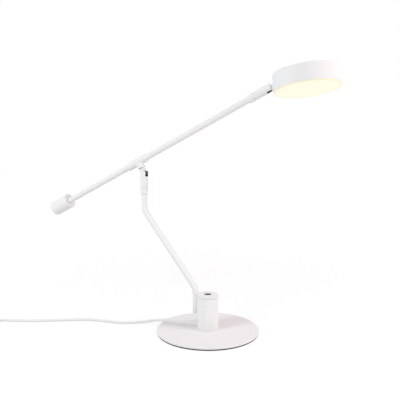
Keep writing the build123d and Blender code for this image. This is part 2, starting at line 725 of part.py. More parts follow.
def arm_tube():
    front = UPPER_SEAM - COLLAR_WEB
    body = along_x(ARM_RADIUS, TUBE_REAR, front) - along_x(ARM_INNER, TUBE_REAR - 1, front + 1)
    return Pos(0, 0, ARM_ABOVE_PIVOT) * body


def counterweight():
    radius = WEIGHT_DIA / 2
    body = disc(radius, WEIGHT_REAR, WEIGHT_FRONT)
    body = fillet(edges_at(body, WEIGHT_REAR, radius), WEIGHT_EDGE)
    body = fillet(edges_at(body, WEIGHT_FRONT, radius), WEIGHT_FRONT_EDGE)
    body -= disc(ARM_RADIUS + FIT, TUBE_REAR, WEIGHT_FRONT + 1)
    body -= disc(WEIGHT_RECESS_DIA / 2, WEIGHT_FRONT - WEIGHT_RECESS, WEIGHT_FRONT + 1)
    body -= disc(WEIGHT_SCREW_RADIUS + FIT, WEIGHT_REAR - 1, WEIGHT_FRONT)
    body -= disc(WEIGHT_SCREW_HEAD + HEAD_ROOM, WEIGHT_REAR - 1, WEIGHT_REAR + WEIGHT_COUNTERBORE)
    return Pos(0, 0, ARM_ABOVE_PIVOT) * Rot(0, 90, 0) * body


def counterweight_screw():
    seat = WEIGHT_REAR + WEIGHT_COUNTERBORE
    screw = pan_screw(WEIGHT_SCREW_RADIUS, WEIGHT_SCREW_LENGTH, WEIGHT_SCREW_HEAD, WEIGHT_SCREW_HEAD_TALL)
    screw -= Pos(0, 0, -WEIGHT_SCREW_HEAD_TALL) * hex_socket(WEIGHT_SOCKET)
    return Pos(seat, 0, ARM_ABOVE_PIVOT) * Rot(0, 90, 0) * screw


def arm_end_plug():
    body = along_x(ARM_INNER - FIT, TUBE_REAR, TUBE_REAR + END_PLUG_LENGTH)
    body -= along_x(WEIGHT_SCREW_RADIUS + FIT, TUBE_REAR - 1, TUBE_REAR + END_PLUG_LENGTH + 1)
    return Pos(0, 0, ARM_ABOVE_PIVOT) * body


def arm_lead():
    front = UPPER_SEAM + SPINDLE_TOP + LEAD_PAST_SPINDLE
    return Pos(0, 0, ARM_ABOVE_PIVOT) * along_x(LEAD_DIA / 2, SLEEVE_REAR, front)


# ---------------------------------------------------------------- head, about its pivot

def head_tongue():
    body = tongue(FOOT_START + FOOT_OVERLAP)
    half = FOOT_WIDE / 2
    body += block((FOOT_START, -half, LEDGE_LEVEL), (FOOT_END, half, LEDGE_LEVEL + FOOT_THICK))
    for side in (-1, 1):
        hole = disc(SMALL_SCREW_RADIUS + FIT, LEDGE_LEVEL - 1, LEDGE_LEVEL + FOOT_THICK + 1)
        body -= Pos(HINGE_SCREW_PLACE, side * HINGE_SCREW_SPREAD, 0) * hole
    return body


def hinge_screws():
    screw = pan_screw(SMALL_SCREW_RADIUS, HINGE_SCREW_LENGTH, SMALL_SCREW_HEAD, SMALL_SCREW_HEAD_TALL)
    places = [Pos(HINGE_SCREW_PLACE, side * HINGE_SCREW_SPREAD, SPREADER_BOTTOM) for side in (-1, 1)]
    return [place * screw for place in places]


def head_shell():
    top = DRUM_ABOVE
    ledge = DRUM_INNER - LEDGE_WIDE
    roof = top - DRUM_TOP_WALL
    body = turned(
        (0, top),
        (DRUM_RADIUS, top),
        (DRUM_RADIUS, -DRUM_BELOW),
        (DRUM_INNER, -DRUM_BELOW),
        (DRUM_INNER, LEDGE_LEVEL),
        (ledge, LEDGE_LEVEL),
        (ledge, LEDGE_LEVEL + LEDGE_TALL),
        (DRUM_INNER, LEDGE_LEVEL + LEDGE_TALL),
        (DRUM_INNER, roof),
        (0, roof),
    )
    body = fillet(edges_at(body, top, DRUM_RADIUS), DRUM_EDGE)
    for angle in HEAD_BOSS_ANGLES:
        body += around(HEAD_BOSS_CIRCLE, angle) * disc(HEAD_BOSS_RADIUS, LEDGE_LEVEL, roof)
        hole_top = SPREADER_BOTTOM + HEAD_SCREW_LENGTH + HEAD_ROOM
        hole = disc(SMALL_SCREW_RADIUS + FIT, LEDGE_LEVEL - 1, hole_top)
        body -= around(HEAD_BOSS_CIRCLE, angle) * hole
    half_wide = HALF_TONGUE + WINDOW_GAP
    half_tall = TONGUE_WIDE / 2 + WINDOW_GAP
    window = block((0, -half_wide, -half_tall), (FOOT_START, half_wide, half_tall))
    return DRUM_PLACE * body - window


def heat_spreader():
    body = disc(DRUM_INNER - SPREADER_GAP, SPREADER_BOTTOM, LEDGE_LEVEL)
    for angle in HEAD_BOSS_ANGLES:
        hole = disc(SMALL_SCREW_RADIUS + FIT, SPREADER_BOTTOM - 1, LEDGE_LEVEL + 1)
        body -= around(HEAD_BOSS_CIRCLE, angle) * hole
    body = DRUM_PLACE * body
    for side in (-1, 1):
        hole = disc(SMALL_SCREW_RADIUS + FIT, SPREADER_BOTTOM - 1, LEDGE_LEVEL + 1)
        body -= Pos(HINGE_SCREW_PLACE, side * HINGE_SCREW_SPREAD, 0) * hole
    return body


def head_screws():
    screw = pan_screw(SMALL_SCREW_RADIUS, HEAD_SCREW_LENGTH, SMALL_SCREW_HEAD, SMALL_SCREW_HEAD_TALL)
    screw = Pos(0, 0, SPREADER_BOTTOM) * screw
    return [DRUM_PLACE * around(HEAD_BOSS_CIRCLE, angle) * screw for angle in HEAD_BOSS_ANGLES]


def led_board():
    return DRUM_PLACE * disc(LED_BOARD_RADIUS, LED_BOARD_BOTTOM, SPREADER_BOTTOM)


def leds():
    half = LED_SIZE / 2
    chip = block((-half, -half, LED_BOARD_BOTTOM - LED_TALL), (half, half, LED_BOARD_BOTTOM))
    chips = []
    for ring_number, count in enumerate(LED_RING_COUNTS, start=1):
        for number in range(count):
            chips.append(DRUM_PLACE * around(LED_RING_STEP * ring_number, 360 / count * number) * chip)
    return chips


def diffuser():
    bottom = -DRUM_BELOW - DIFFUSER_THICK
    body = disc(DIFFUSER_RADIUS, bottom, -DRUM_BELOW)
    body = fillet(edges_at(body, bottom, DIFFUSER_RADIUS), DIFFUSER_EDGE)
    rim = DRUM_INNER - SPREADER_GAP
    body += ring(rim, rim - DIFFUSER_SPIGOT_WALL, -DRUM_BELOW, -DRUM_BELOW + DIFFUSER_SPIGOT)
    return DRUM_PLACE * body


# ---------------------------------------------------------------- cord

def route_points():
    """The cord's route, from the strain relief's end to the coil."""
    relief_end = POST_RADIUS + RELIEF_OUTSIDE
    start = (cord_axis() * Pos(0, 0, relief_end)).position
    straight = (cord_axis() * Pos(0, 0, relief_end + CORD_STRAIGHT)).position
    return [start, straight, *[Vector(*point) for point in CORD_ROUTE]]


def route_radii(points):
    """At each corner, 0.45 of the shorter run divided by the tangent of half the turn."""
    radii = []
    for before, corner, after in zip(points, points[1:], points[2:]):
        shorter = min((corner - before).length, (after - corner).length)
        turn = math.radians((corner - before).get_angle(after - corner))
        radii.append(0.45 * shorter / math.tan(turn / 2))
    return radii


def cord_run():
    points = route_points()
    radii = route_radii(points)
    path = FilletPolyline(*points, radius=radii)
    tube = tube_along(path, CORD_RADIUS)
    print("cord run: radii", " ".join(f"{radius:.0f}" for radius in radii))
    print(f"cord run: length {path.length:.1f}, volume over section times length "
          f"{tube.volume / (math.pi * CORD_RADIUS ** 2 * path.length):.4f}")
    return tube


def coil_frame():
    """Coil's centre and its two directions: across at the entry, and the way the cord goes in."""
    points = route_points()
    ahead = (points[-1] - points[-2]).normalized()
    across = Vector(ahead.Y, -ahead.X, 0)
    entry = points[-1] + ahead * CORD_DIA
    return entry - across * COIL_START_RADIUS, across, ahead


def coil_arcs():
    """The coil's middle line: half turns inwards, a climbing half turn, half turns outwards."""
    centre, across, ahead = coil_frame()
    step = COIL_PITCH / 2
    start = centre + across * COIL_START_RADIUS
    arcs = [Line(start - ahead * CORD_DIA, start)]
    distance = COIL_START_RADIUS
    side = 1
    for number in range(COIL_HALF_TURNS_IN):
        inwards = step + COIL_CLIMB_INSET if number == COIL_HALF_TURNS_IN - 1 else step
        here = centre + across * (side * distance)
        there = centre - across * (side * (distance - inwards))
        arcs.append(TangentArc(here, there, tangent=ahead * side))
        distance -= inwards
        side = -side
    low = centre + across * (side * distance)
    high = centre - across * (side * distance) + Vector(0, 0, COIL_LAYER)
    reach = (high - low).length / 2
    middle = (low + high) * 0.5 + ahead * (side * reach)
    arcs.append(TangentArc(low, middle, tangent=ahead * side))
    arcs.append(TangentArc(middle, high, tangent=high - low))
    side = -side
    top = centre + Vector(0, 0, COIL_LAYER)
    for number in range(COIL_HALF_TURNS_OUT):
        outwards = step + COIL_CLIMB_INSET if number == 0 else step
        here = top + across * (side * distance)
        there = top - across * (side * (distance + outwards))
        arcs.append(TangentArc(here, there, tangent=ahead * side))
        distance += outwards
        side = -side
    last = top + across * (side * distance)
    arcs.append(Line(last, last + ahead * (side * CORD_DIA)))
    return arcs


def coil_end():
    """Place where the cord leaves the coil; +Z runs along it."""
    last = coil_arcs()[-1]
    return Plane(origin=last @ 1, x_dir=(0, 0, 1), z_dir=last % 1).location


def least_gap(path, pitch_along=3.0):
    """Least gap of the tube to itself, on points of its middle line that lie apart along it."""
    count = int(path.length / pitch_along)
    points = [path @ (number / count) for number in range(count + 1)]
    apart = math.ceil(2.5 * CORD_DIA / pitch_along)
    least = 1e9
    for first in range(len(points)):
        for second in range(first + apart, len(points)):
            least = min(least, (points[first] - points[second]).length)
    return least - CORD_DIA


def cord_coil():
    path = Wire([arc.edge() for arc in coil_arcs()])
    tube = tube_along(path, CORD_RADIUS)
    print(f"coil: length {path.length:.1f}, least gap to itself {least_gap(path):.2f}, volume over "
          f"section times length {tube.volume / (math.pi * CORD_RADIUS ** 2 * path.length):.4f}")
    return tube


def cord_tail():
    return coil_end() * disc(CORD_RADIUS, 0, TAIL_LENGTH)


def coil_tie():
    """Flat strap round the coil's bundle on the side away from the cord's entry."""
    centre, across, _ = coil_frame()
    inmost = COIL_START_RADIUS - COIL_HALF_TURNS_IN * COIL_PITCH / 2 - COIL_CLIMB_INSET - CORD_RADIUS
    inner = math.sqrt(inmost ** 2 - (TIE_WIDE / 2) ** 2) - TIE_GAP
    outer = COIL_START_RADIUS + CORD_RADIUS + TIE_GAP
    bottom = centre.Z - CORD_RADIUS - TIE_GAP
    top = centre.Z + COIL_LAYER + CORD_RADIUS + TIE_GAP
    half = TIE_WIDE / 2
    hull = block(
        (inner - TIE_THICK, -half, bottom - TIE_THICK),
        (outer + TIE_THICK, half, top + TIE_THICK),
    )
    hollow = block((inner, -half - 1, bottom), (outer, half + 1, top))
    heading = math.degrees(math.atan2(across.Y, across.X)) + 180 + TIE_ANGLE
    return Pos(centre.X, centre.Y, 0) * Rot(0, 0, heading) * (hull - hollow)


def plug_section(width, thick, corner, level):
    """Rounded rectangle across the cord, its width level with the table."""
    return Pos(0, 0, level) * RectangleRounded(thick, width, corner)


def plug_body():
    start = TAIL_LENGTH
    face = start + PLUG_BOOT + PLUG_LENGTH
    boot = loft(
        [
            Pos(0, 0, start) * Circle(PLUG_BOOT_RADIUS),
            Pos(0, 0, start + PLUG_BOOT) * Circle(PLUG_BOOT_RADIUS + PLUG_BOOT_FLARE),
        ],
        ruled=True,
    )
    shoulder = plug_section(PLUG_WIDE, PLUG_THICK, PLUG_CORNER, start + PLUG_BOOT)
    body = extrude(shoulder, amount=PLUG_LENGTH)
    body = fillet(body.edges().group_by(Axis.Z)[0], PLUG_SHOULDER_ROUND)
    body = boot + body
    for side in (-1, 1):
        hole = disc(PIN_DIA / 2 + FIT, face - PIN_SUNK, face + 1)
        body -= Pos(0, side * PIN_SPACING / 2, 0) * hole
    return coil_end() * body


def plug_pins():
    face = TAIL_LENGTH + PLUG_BOOT + PLUG_LENGTH
    pin = disc(PIN_DIA / 2, face - PIN_SUNK, face + PIN_LENGTH)
    pin = fillet(edges_at(pin, face + PIN_LENGTH, PIN_DIA / 2), PIN_TIP_ROUND)
    return [coil_end() * Pos(0, side * PIN_SPACING / 2, 0) * pin for side in (-1, 1)]


# ---------------------------------------------------------------- the lamp

PARTS = {
    "base_pad": base_pad(),
    "base_plate": base_plate(),
    "post_housing": post_housing(),
    "post_cap": post_cap(),
    "post_screws": post_screws(),
    "dimmer_key": dimmer_key(),
    "switch_plunger": switch_plunger(),
    "tact_switch": tact_switch(),
    "dimmer_board": dimmer_board(),
    "board_screws": board_screws(),
    "led_driver": led_driver(),
    "strain_relief": strain_relief(),
    "supply_lead": supply_lead(),
    "stem_tube": stem_tube(),
    "stem_insert": stem_insert(),
    "stem_screws": stem_screws(),
    "stem_lead": stem_lead(),
    "base_collar": LOWER_JOINT * spindle_collar(LOWER_COLLAR, STEM_RADIUS),
    "base_seam_washer": LOWER_JOINT * seam_washer(),
    "base_swivel_washer": LOWER_JOINT * swivel_washer(),
    "base_swivel_nut": LOWER_JOINT * swivel_nut(),
    "base_clevis": LOWER_JOINT * clevis(),
    "base_stop_screw": LOWER_JOINT * stop_screw(),
    "base_pivot_screw": LOWER_JOINT * pivot_screw(),
    "base_tilt_washers": [LOWER_JOINT * washer for washer in tilt_washers()],
    "base_tongue": ARM_PLACE * base_tongue(),
    "tongue_screw": ARM_PLACE * tongue_screw(),
    "arm_sleeve": ARM_PLACE * arm_sleeve(),
    "sleeve_screw": ARM_PLACE * sleeve_screw(),
    "arm_tube": ARM_PLACE * arm_tube(),
    "arm_end_plug": ARM_PLACE * arm_end_plug(),
    "counterweight": ARM_PLACE * counterweight(),
    "counterweight_screw": ARM_PLACE * counterweight_screw(),
    "arm_lead": ARM_PLACE * arm_lead(),
    "head_collar": UPPER_JOINT * spindle_collar(UPPER_COLLAR, ARM_RADIUS),
    "head_seam_washer": UPPER_JOINT * seam_washer(),
    "head_swivel_washer": UPPER_JOINT * swivel_washer(),
    "head_swivel_nut": UPPER_JOINT * swivel_nut(),
    "head_clevis": UPPER_JOINT * clevis(),
    "head_stop_screw": UPPER_JOINT * stop_screw(),
    "head_pivot_screw": UPPER_JOINT * pivot_screw(),
    "head_tilt_washers": [UPPER_JOINT * washer for washer in tilt_washers()],
    "head_tongue": HEAD_PLACE * head_tongue(),
    "hinge_screws": [HEAD_PLACE * screw for screw in hinge_screws()],
    "head_shell": HEAD_PLACE * head_shell(),
    "heat_spreader": HEAD_PLACE * heat_spreader(),
    "led_board": HEAD_PLACE * led_board(),
    "leds": [HEAD_PLACE * chip for chip in leds()],
    "head_screws": [HEAD_PLACE * screw for screw in head_screws()],
    "diffuser": HEAD_PLACE * diffuser(),
    "cord_run": cord_run(),
    "cord_coil": cord_coil(),
    "cord_tail": cord_tail(),
    "coil_tie": coil_tie(),
    "plug_body": plug_body(),
    "plug_pins": plug_pins(),
}

os.makedirs("parts", exist_ok=True)
for name, shape in PARTS.items():
    solid = Compound(children=shape) if isinstance(shape, list) else shape
    export_step(solid, f"parts/{name}.step")
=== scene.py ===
import json
import math

import bpy
import numpy as np
from mathutils import Matrix, Vector


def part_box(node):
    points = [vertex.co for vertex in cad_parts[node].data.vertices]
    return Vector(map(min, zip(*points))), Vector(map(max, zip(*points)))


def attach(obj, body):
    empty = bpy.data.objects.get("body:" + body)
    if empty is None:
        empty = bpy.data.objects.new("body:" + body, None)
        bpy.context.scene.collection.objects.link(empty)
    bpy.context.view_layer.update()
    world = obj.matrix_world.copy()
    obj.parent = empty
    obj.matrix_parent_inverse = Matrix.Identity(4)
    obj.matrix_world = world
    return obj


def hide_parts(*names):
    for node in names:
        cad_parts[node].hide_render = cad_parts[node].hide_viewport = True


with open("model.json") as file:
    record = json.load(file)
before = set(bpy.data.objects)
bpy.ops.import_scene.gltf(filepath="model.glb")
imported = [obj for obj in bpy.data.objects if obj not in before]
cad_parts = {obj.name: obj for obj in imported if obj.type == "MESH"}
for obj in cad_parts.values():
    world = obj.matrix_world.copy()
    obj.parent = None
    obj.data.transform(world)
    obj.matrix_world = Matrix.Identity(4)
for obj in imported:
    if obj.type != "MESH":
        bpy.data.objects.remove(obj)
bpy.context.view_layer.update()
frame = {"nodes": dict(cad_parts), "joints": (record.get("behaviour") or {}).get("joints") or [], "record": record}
nodes = frame["nodes"]
joints = {joint["name"]: joint for joint in frame["joints"]}
MM = 0.001


# ---------------------------------------------------------------- camera

CAMERA_PLACE = (0.38970, -0.83218, 0.33509)
CAMERA_AHEAD = (-0.43632, 0.89480, -0.09459)
CAMERA_UP = (-0.04146, 0.08503, 0.99552)
CAMERA_LENS = 45.36


def make_camera():
    """The photograph's viewpoint: at two thirds of the lamp's height, looking slightly down."""
    data = bpy.data.cameras.new("camera")
    data.lens = CAMERA_LENS
    data.sensor_width = 36.0
    data.clip_start = 0.01
    data.clip_end = 60.0
    camera = bpy.data.objects.new("camera", data)
    bpy.context.scene.collection.objects.link(camera)
    ahead = Vector(CAMERA_AHEAD).normalized()
    side = ahead.cross(Vector(CAMERA_UP)).normalized()
    up = side.cross(ahead)
    turn = Matrix((side, up, -ahead)).transposed()
    camera.matrix_world = Matrix.Translation(CAMERA_PLACE) @ turn.to_4x4()
    bpy.context.scene.camera = camera


make_camera()


# ---------------------------------------------------------------- cord

CORD_RADIUS = 2.5 * MM
# control points of the cord's middle line, from its exit to the coil
CORD_ROUTE = np.array([
    (-34.154, -16.658, 22.0),
    (-44.041, -21.480, 22.0),
    (-59.0, -23.5, 20.9),
    (-76.0, -21.5, 17.8),
    (-94.0, -17.8, 13.4),
    (-112.0, -14.6, 8.7),
    (-130.0, -16.2, 4.5),
    (-147.0, -24.5, 2.7),
    (-165.0, -35.5, 2.6),
    (-184.0, -40.5, 2.6),
    (-207.0, -42.5, 2.6),
    (-232.0, -48.0, 2.6),
    (-256.0, -58.0, 2.6),
    (-282.0, -73.0, 2.6),
    (-307.0, -89.0, 2.6),
    (-335.0, -105.0, 2.6),
    (-363.0, -118.0, 2.8),
    (-393.0, -130.0, 3.4),
    (-420.0, -140.8, 3.4),
]) * MM
CORD_LEAD_IN = 5.0 * MM
COIL_RADIUS = 38.5 * MM
COIL_STEP = 2.75 * MM
COIL_LAYER = 5.5 * MM
COIL_CLIMB_INSET = 1.5 * MM
COIL_HALF_TURNS_IN = 8
COIL_HALF_TURNS_OUT = 7
COIL_POINTS = 9
CORD_TAIL = 24.0 * MM


def coil_points():
    """Two flat spirals of half circles whose centres lie half a step either side of the coil's middle,
    one on the other, joined by a half turn that rises as one minus a cosine."""
    ahead = CORD_ROUTE[-1] - CORD_ROUTE[-2]
    ahead[2] = 0
    ahead /= np.linalg.norm(ahead)
    across = np.array([ahead[1], -ahead[0], 0])
    entry = CORD_ROUTE[-1] + ahead * CORD_LEAD_IN
    centre = entry - across * COIL_RADIUS
    turn = (np.arange(COIL_POINTS) + 0.5) * math.pi / COIL_POINTS
    # control points lie a little outside the circle that their curve follows
    outside = 1 / math.cos(math.pi / COIL_POINTS / 2)
    up = np.array([0, 0, 1.0])
    points = []

    def half_turn(side, near, far, height):
        """A half circle that goes from one distance to the other."""
        radius = (near + far) / 2 * outside
        middle = centre + across * side * (near - far) / 2 + up * height
        arc = np.outer(np.cos(turn), across) + np.outer(np.sin(turn), ahead)
        points.append(middle + side * radius * arc)

    distance, side = COIL_RADIUS, 1
    for number in range(COIL_HALF_TURNS_IN):
        step = COIL_STEP + (COIL_CLIMB_INSET if number == COIL_HALF_TURNS_IN - 1 else 0)
        half_turn(side, distance, distance - step, 0)
        distance, side = distance - step, -side
    reach = math.hypot(distance, COIL_LAYER / 2)
    climb = np.outer(distance * outside * np.cos(turn), across)
    climb += np.outer(reach * outside * np.sin(turn), ahead)
    rise = np.outer((1 - np.cos(turn)) * COIL_LAYER / 2, up)
    points.append(centre + side * climb + rise)
    side = -side
    for number in range(COIL_HALF_TURNS_OUT):
        step = COIL_STEP + (COIL_CLIMB_INSET if number == 0 else 0)
        half_turn(side, distance, distance + step, COIL_LAYER)
        distance, side = distance + step, -side
    end = centre + across * side * distance + up * COIL_LAYER
    tail = [end + ahead * side * reach for reach in (CORD_LEAD_IN, CORD_LEAD_IN + CORD_TAIL)]
    return np.vstack([*points, tail])


def make_cord():
    """One smooth line from the strain relief over the table into the coil and on to the plug."""
    points = np.vstack([CORD_ROUTE, coil_points()])
    curve = bpy.data.curves.new("mains_cord", "CURVE")
    curve.dimensions = "3D"
    curve.resolution_u = 8
    curve.bevel_depth = 1.0
    curve.bevel_resolution = 6
    curve.use_fill_caps = True
    spline = curve.splines.new("NURBS")
    spline.points.add(len(points) - 1)
    spline.points.foreach_set("co", np.hstack([points, np.ones((len(points), 1))]).ravel())
    spline.points.foreach_set("radius", np.full(len(points), CORD_RADIUS))
    spline.order_u = 3
    spline.use_endpoint_u = True
    cord = bpy.data.objects.new("mains_cord", curve)
    bpy.context.scene.collection.objects.link(cord)
    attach(cord, "root")
    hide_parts("cord_run", "cord_coil", "cord_tail")
    return cord


cord = make_cord()


# ---------------------------------------------------------------- places

def place_of(origin, x_way, z_way):
    """Four by four matrix of a place from its origin, its X and its rough Z direction."""
    x_way = np.array(x_way, float) / np.linalg.norm(x_way)
    y_way = np.cross(z_way, x_way)
    y_way /= np.linalg.norm(y_way)
    place = np.eye(4)
    place[:3, 0] = x_way
    place[:3, 1] = y_way
    place[:3, 2] = np.cross(x_way, y_way)
    place[:3, 3] = origin
    return place


def shifted(place, x=0.0, y=0.0, z=0.0):
    """The same place moved along its own directions."""
    there = place.copy()
    there[:3, 3] += place[:3, :3] @ np.array([x, y, z])
    return there


def turned_to_x(place):
    """A place whose own Z runs along the given place's X."""
    turned = place.copy()
    turned[:3, 0] = -place[:3, 2]
    turned[:3, 2] = place[:3, 0]
    return turned


ARM_ABOVE_PIVOT = 25.86 * MM
HEAD_TILT = math.radians(17.34)
DRUM_REACH = 65.75 * MM

arm_way = np.array(joints["head_swivel"]["axis"])
arm_place = place_of(joints["arm_tilt"]["pos_m"], arm_way, (0, 0, 1))
arm_line = turned_to_x(shifted(arm_place, z=ARM_ABOVE_PIVOT))
lower_joint = place_of(joints["base_swivel"]["pos_m"], (1, 0, 0), (0, 0, 1))
head_side = -np.array(joints["head_tilt"]["axis"])
upper_joint = place_of(joints["head_swivel"]["pos_m"], np.cross(head_side, arm_way), arm_way)
head_up = np.cross(arm_way, head_side)
drum_ahead = arm_way * math.cos(HEAD_TILT) - head_up * math.sin(HEAD_TILT)
head_place = place_of(joints["head_tilt"]["pos_m"], drum_ahead, head_up)
drum_place = shifted(head_place, x=DRUM_REACH)
table_place = np.eye(4)
cord_exit = np.array([*CORD_ROUTE[0][:2], 0])
cord_place = turned_to_x(place_of((0, 0, CORD_ROUTE[0][2]), cord_exit, (0, 0, 1)))


# ---------------------------------------------------------------- surfaces

FLAT_GUARD = 0.15 * MM
TUBE_SIDES = 64
WEIGHT_SIDES = 128
DISC_SIDES = 160
WIDE_SIDES = 192


def rounded(corners, steps=6):
    """Profile points from (radius, level, rounding) corners: each corner becomes an arc that touches
    both of its sides, with one more point close to each end of the arc, which keeps flat faces flat."""
    corners = [np.array(corner, float) for corner in corners]
    points = [corners[0][:2]]
    for before, corner, after in zip(corners, corners[1:], corners[2:]):
        back = before[:2] - corner[:2]
        on = after[:2] - corner[:2]
        back_length, on_length = np.linalg.norm(back), np.linalg.norm(on)
        back, on = back / back_length, on / on_length
        half = math.acos(np.clip(back @ on, -1, 1)) / 2
        rounding = corner[2]
        reach = rounding / math.tan(half)
        middle = corner[:2] + (back + on) / np.linalg.norm(back + on) * rounding / math.sin(half)
        start = corner[:2] + back * reach
        end = corner[:2] + on * reach
        guard = min(FLAT_GUARD, (back_length - reach) / 3, (on_length - reach) / 3)
        span = math.pi - 2 * half
        first = math.atan2(*(start - middle)[::-1])
        last = math.atan2(*(end - middle)[::-1])
        swing = (last - first + math.pi) % (2 * math.pi) - math.pi
        swing = math.copysign(span, swing)
        angles = first + swing * np.linspace(0, 1, steps + 1)
        arc = middle + rounding * np.stack([np.cos(angles), np.sin(angles)], 1)
        points.extend([start + back * guard, *arc, end + on * guard])
    points.append(corners[-1][:2])
    return np.array(points)


def mesh_piece(name, vertices, faces, body, replaced, material):
    """A smooth mesh object that rides on a body and stands for its nodes."""
    mesh = bpy.data.meshes.new(name)
    mesh.from_pydata(vertices.tolist(), [], faces)
    mesh.polygons.foreach_set("use_smooth", np.ones(len(mesh.polygons), bool))
    mesh.update()
    piece = bpy.data.objects.new(name, mesh)
    bpy.context.scene.collection.objects.link(piece)
    piece.data.materials.append(material)
    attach(piece, body)
    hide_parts(*replaced)
    return piece


def grid_faces(rows, columns, joined_ends=False):
    """Quads between neighbouring rows, closed round the columns, and from the last row to the first
    where the ends are joined."""
    last = rows if joined_ends else rows - 1
    row, column = np.meshgrid(np.arange(last), np.arange(columns), indexing="ij")
    above = (row + 1) % rows
    beside = (column + 1) % columns
    here, there = row * columns, above * columns
    corners = [here + column, here + beside, there + beside, there + column]
    return np.stack(corners, -1).reshape(-1, 4).tolist()


def moved(points, place):
    """Points carried from a place's own frame into the lamp's."""
    return points @ place[:3, :3].T + place[:3, 3]


def closed_rows(grid, first_pole, last_pole):
    """Vertices and faces of a grid of rings, with a point that closes each end."""
    rows, columns = grid.shape[:2]
    vertices = np.vstack([grid.reshape(-1, 3), first_pole, last_pole])
    pole = rows * columns
    top = pole - columns
    around = np.arange(columns)
    beside = (around + 1) % columns
    faces = grid_faces(rows, columns)
    faces += np.stack([beside, around, np.full(columns, pole)], 1).tolist()
    faces += np.stack([top + around, top + beside, np.full(columns, pole + 1)], 1).tolist()
    return vertices, faces


def lathe(name, corners, place, sides, body, replaced, material, steps=6):
    """Surface of revolution about a place's Z: (r cos a, r sin a, level). The corners run outwards
    from the axis at the top, down the outside and back to the axis, where poles close the surface. A
    profile that keeps off the axis is closed from its last ring to its first."""
    profile = rounded(corners, steps)
    rings = profile[1:-1] if profile[0][0] == 0 else profile
    angle = np.arange(sides) * 2 * math.pi / sides
    grid = np.empty((len(rings), sides, 3))
    grid[..., 0] = rings[:, :1] * np.cos(angle)
    grid[..., 1] = rings[:, :1] * np.sin(angle)
    grid[..., 2] = rings[:, 1:]
    grid = grid[::-1]
    if profile[0][0] == 0:
        bottom, top = (0, 0, profile[-1][1]), (0, 0, profile[0][1])
        vertices, faces = closed_rows(grid, bottom, top)
    else:
        vertices = grid.reshape(-1, 3)
        faces = grid_faces(len(rings), sides, joined_ends=True)
    return mesh_piece(name, moved(vertices, place), faces, body, replaced, material)


def bent_line(corners, radius, step):
    """Points of straight runs joined by arcs of one radius, and the direction at each."""
    corners = [np.array(corner, float) for corner in corners]
    points, ways = [corners[0]], [(corners[1] - corners[0]) / np.linalg.norm(corners[1] - corners[0])]
    for before, corner, after in zip(corners, corners[1:], corners[2:]):
        into = (corner - before) / np.linalg.norm(corner - before)
        out = (after - corner) / np.linalg.norm(after - corner)
        turn = math.acos(np.clip(into @ out, -1, 1))
        start = corner - into * radius * math.tan(turn / 2)
        inward = out - into * (into @ out)
        inward /= np.linalg.norm(inward)
        for part in np.linspace(0, turn, max(4, math.ceil(turn * radius / step))):
            points.append(start + radius * (into * math.sin(part) + inward * (1 - math.cos(part))))
            ways.append(into * math.cos(part) + inward * math.sin(part))
    points.append(corners[-1])
    ways.append(ways[-1])
    return np.array(points), np.array(ways)


def pipe(name, points, ways, radius, edge, body, replaced, slot, material):
    """Round tube along a line in the XZ plane: each ring is the circle square to the line,
    and the ends close on a ring drawn in by the edge's rounding."""
    side = np.array([0, 1.0, 0])
    angle = np.arange(TUBE_SIDES) * 2 * math.pi / TUBE_SIDES
    over = np.cross(ways, side)
    after_start = points[0] + ways[0] * edge
    before_end = points[-1] - ways[-1] * edge
    points = np.vstack([points[0], after_start, points[1:-1], before_end, points[-1]])
    over = np.vstack([over[0], over[0], over[1:-1], over[-1], over[-1]])
    radii = np.full(len(points), radius)
    radii[[0, -1]] -= edge
    ring = np.cos(angle)[None, :, None] * over[:, None, :] + np.sin(angle)[None, :, None] * -side
    grid = points[:, None, :] + radii[:, None, None] * ring
    vertices, faces = closed_rows(grid[:, ::-1], points[0], points[-1])
    return mesh_piece(name, vertices, faces, body, replaced, material)


# ---------------------------------------------------------------- materials

PEEL_DEPTH = 0.008 * MM
PEEL_DETAIL = 2.0
PEEL_ROUGHNESS = 0.10
DRIFT_SCALE = 14.0
DRIFT_DETAIL = 3.0
DRIFT_TONES = (0.985, 1.015)
COAT_SPECULAR = 0.2
OPAL_GLOSS = 0.35
OPAL_SPECULAR = 0.3
RIM_START = 0.90


def group_socket(group, name, kind, direction, value=None):
    """A socket of a node group, with its usual value."""
    socket = group.interface.new_socket(name=name, in_out=direction, socket_type=kind)
    if value is not None:
        socket.default_value = value


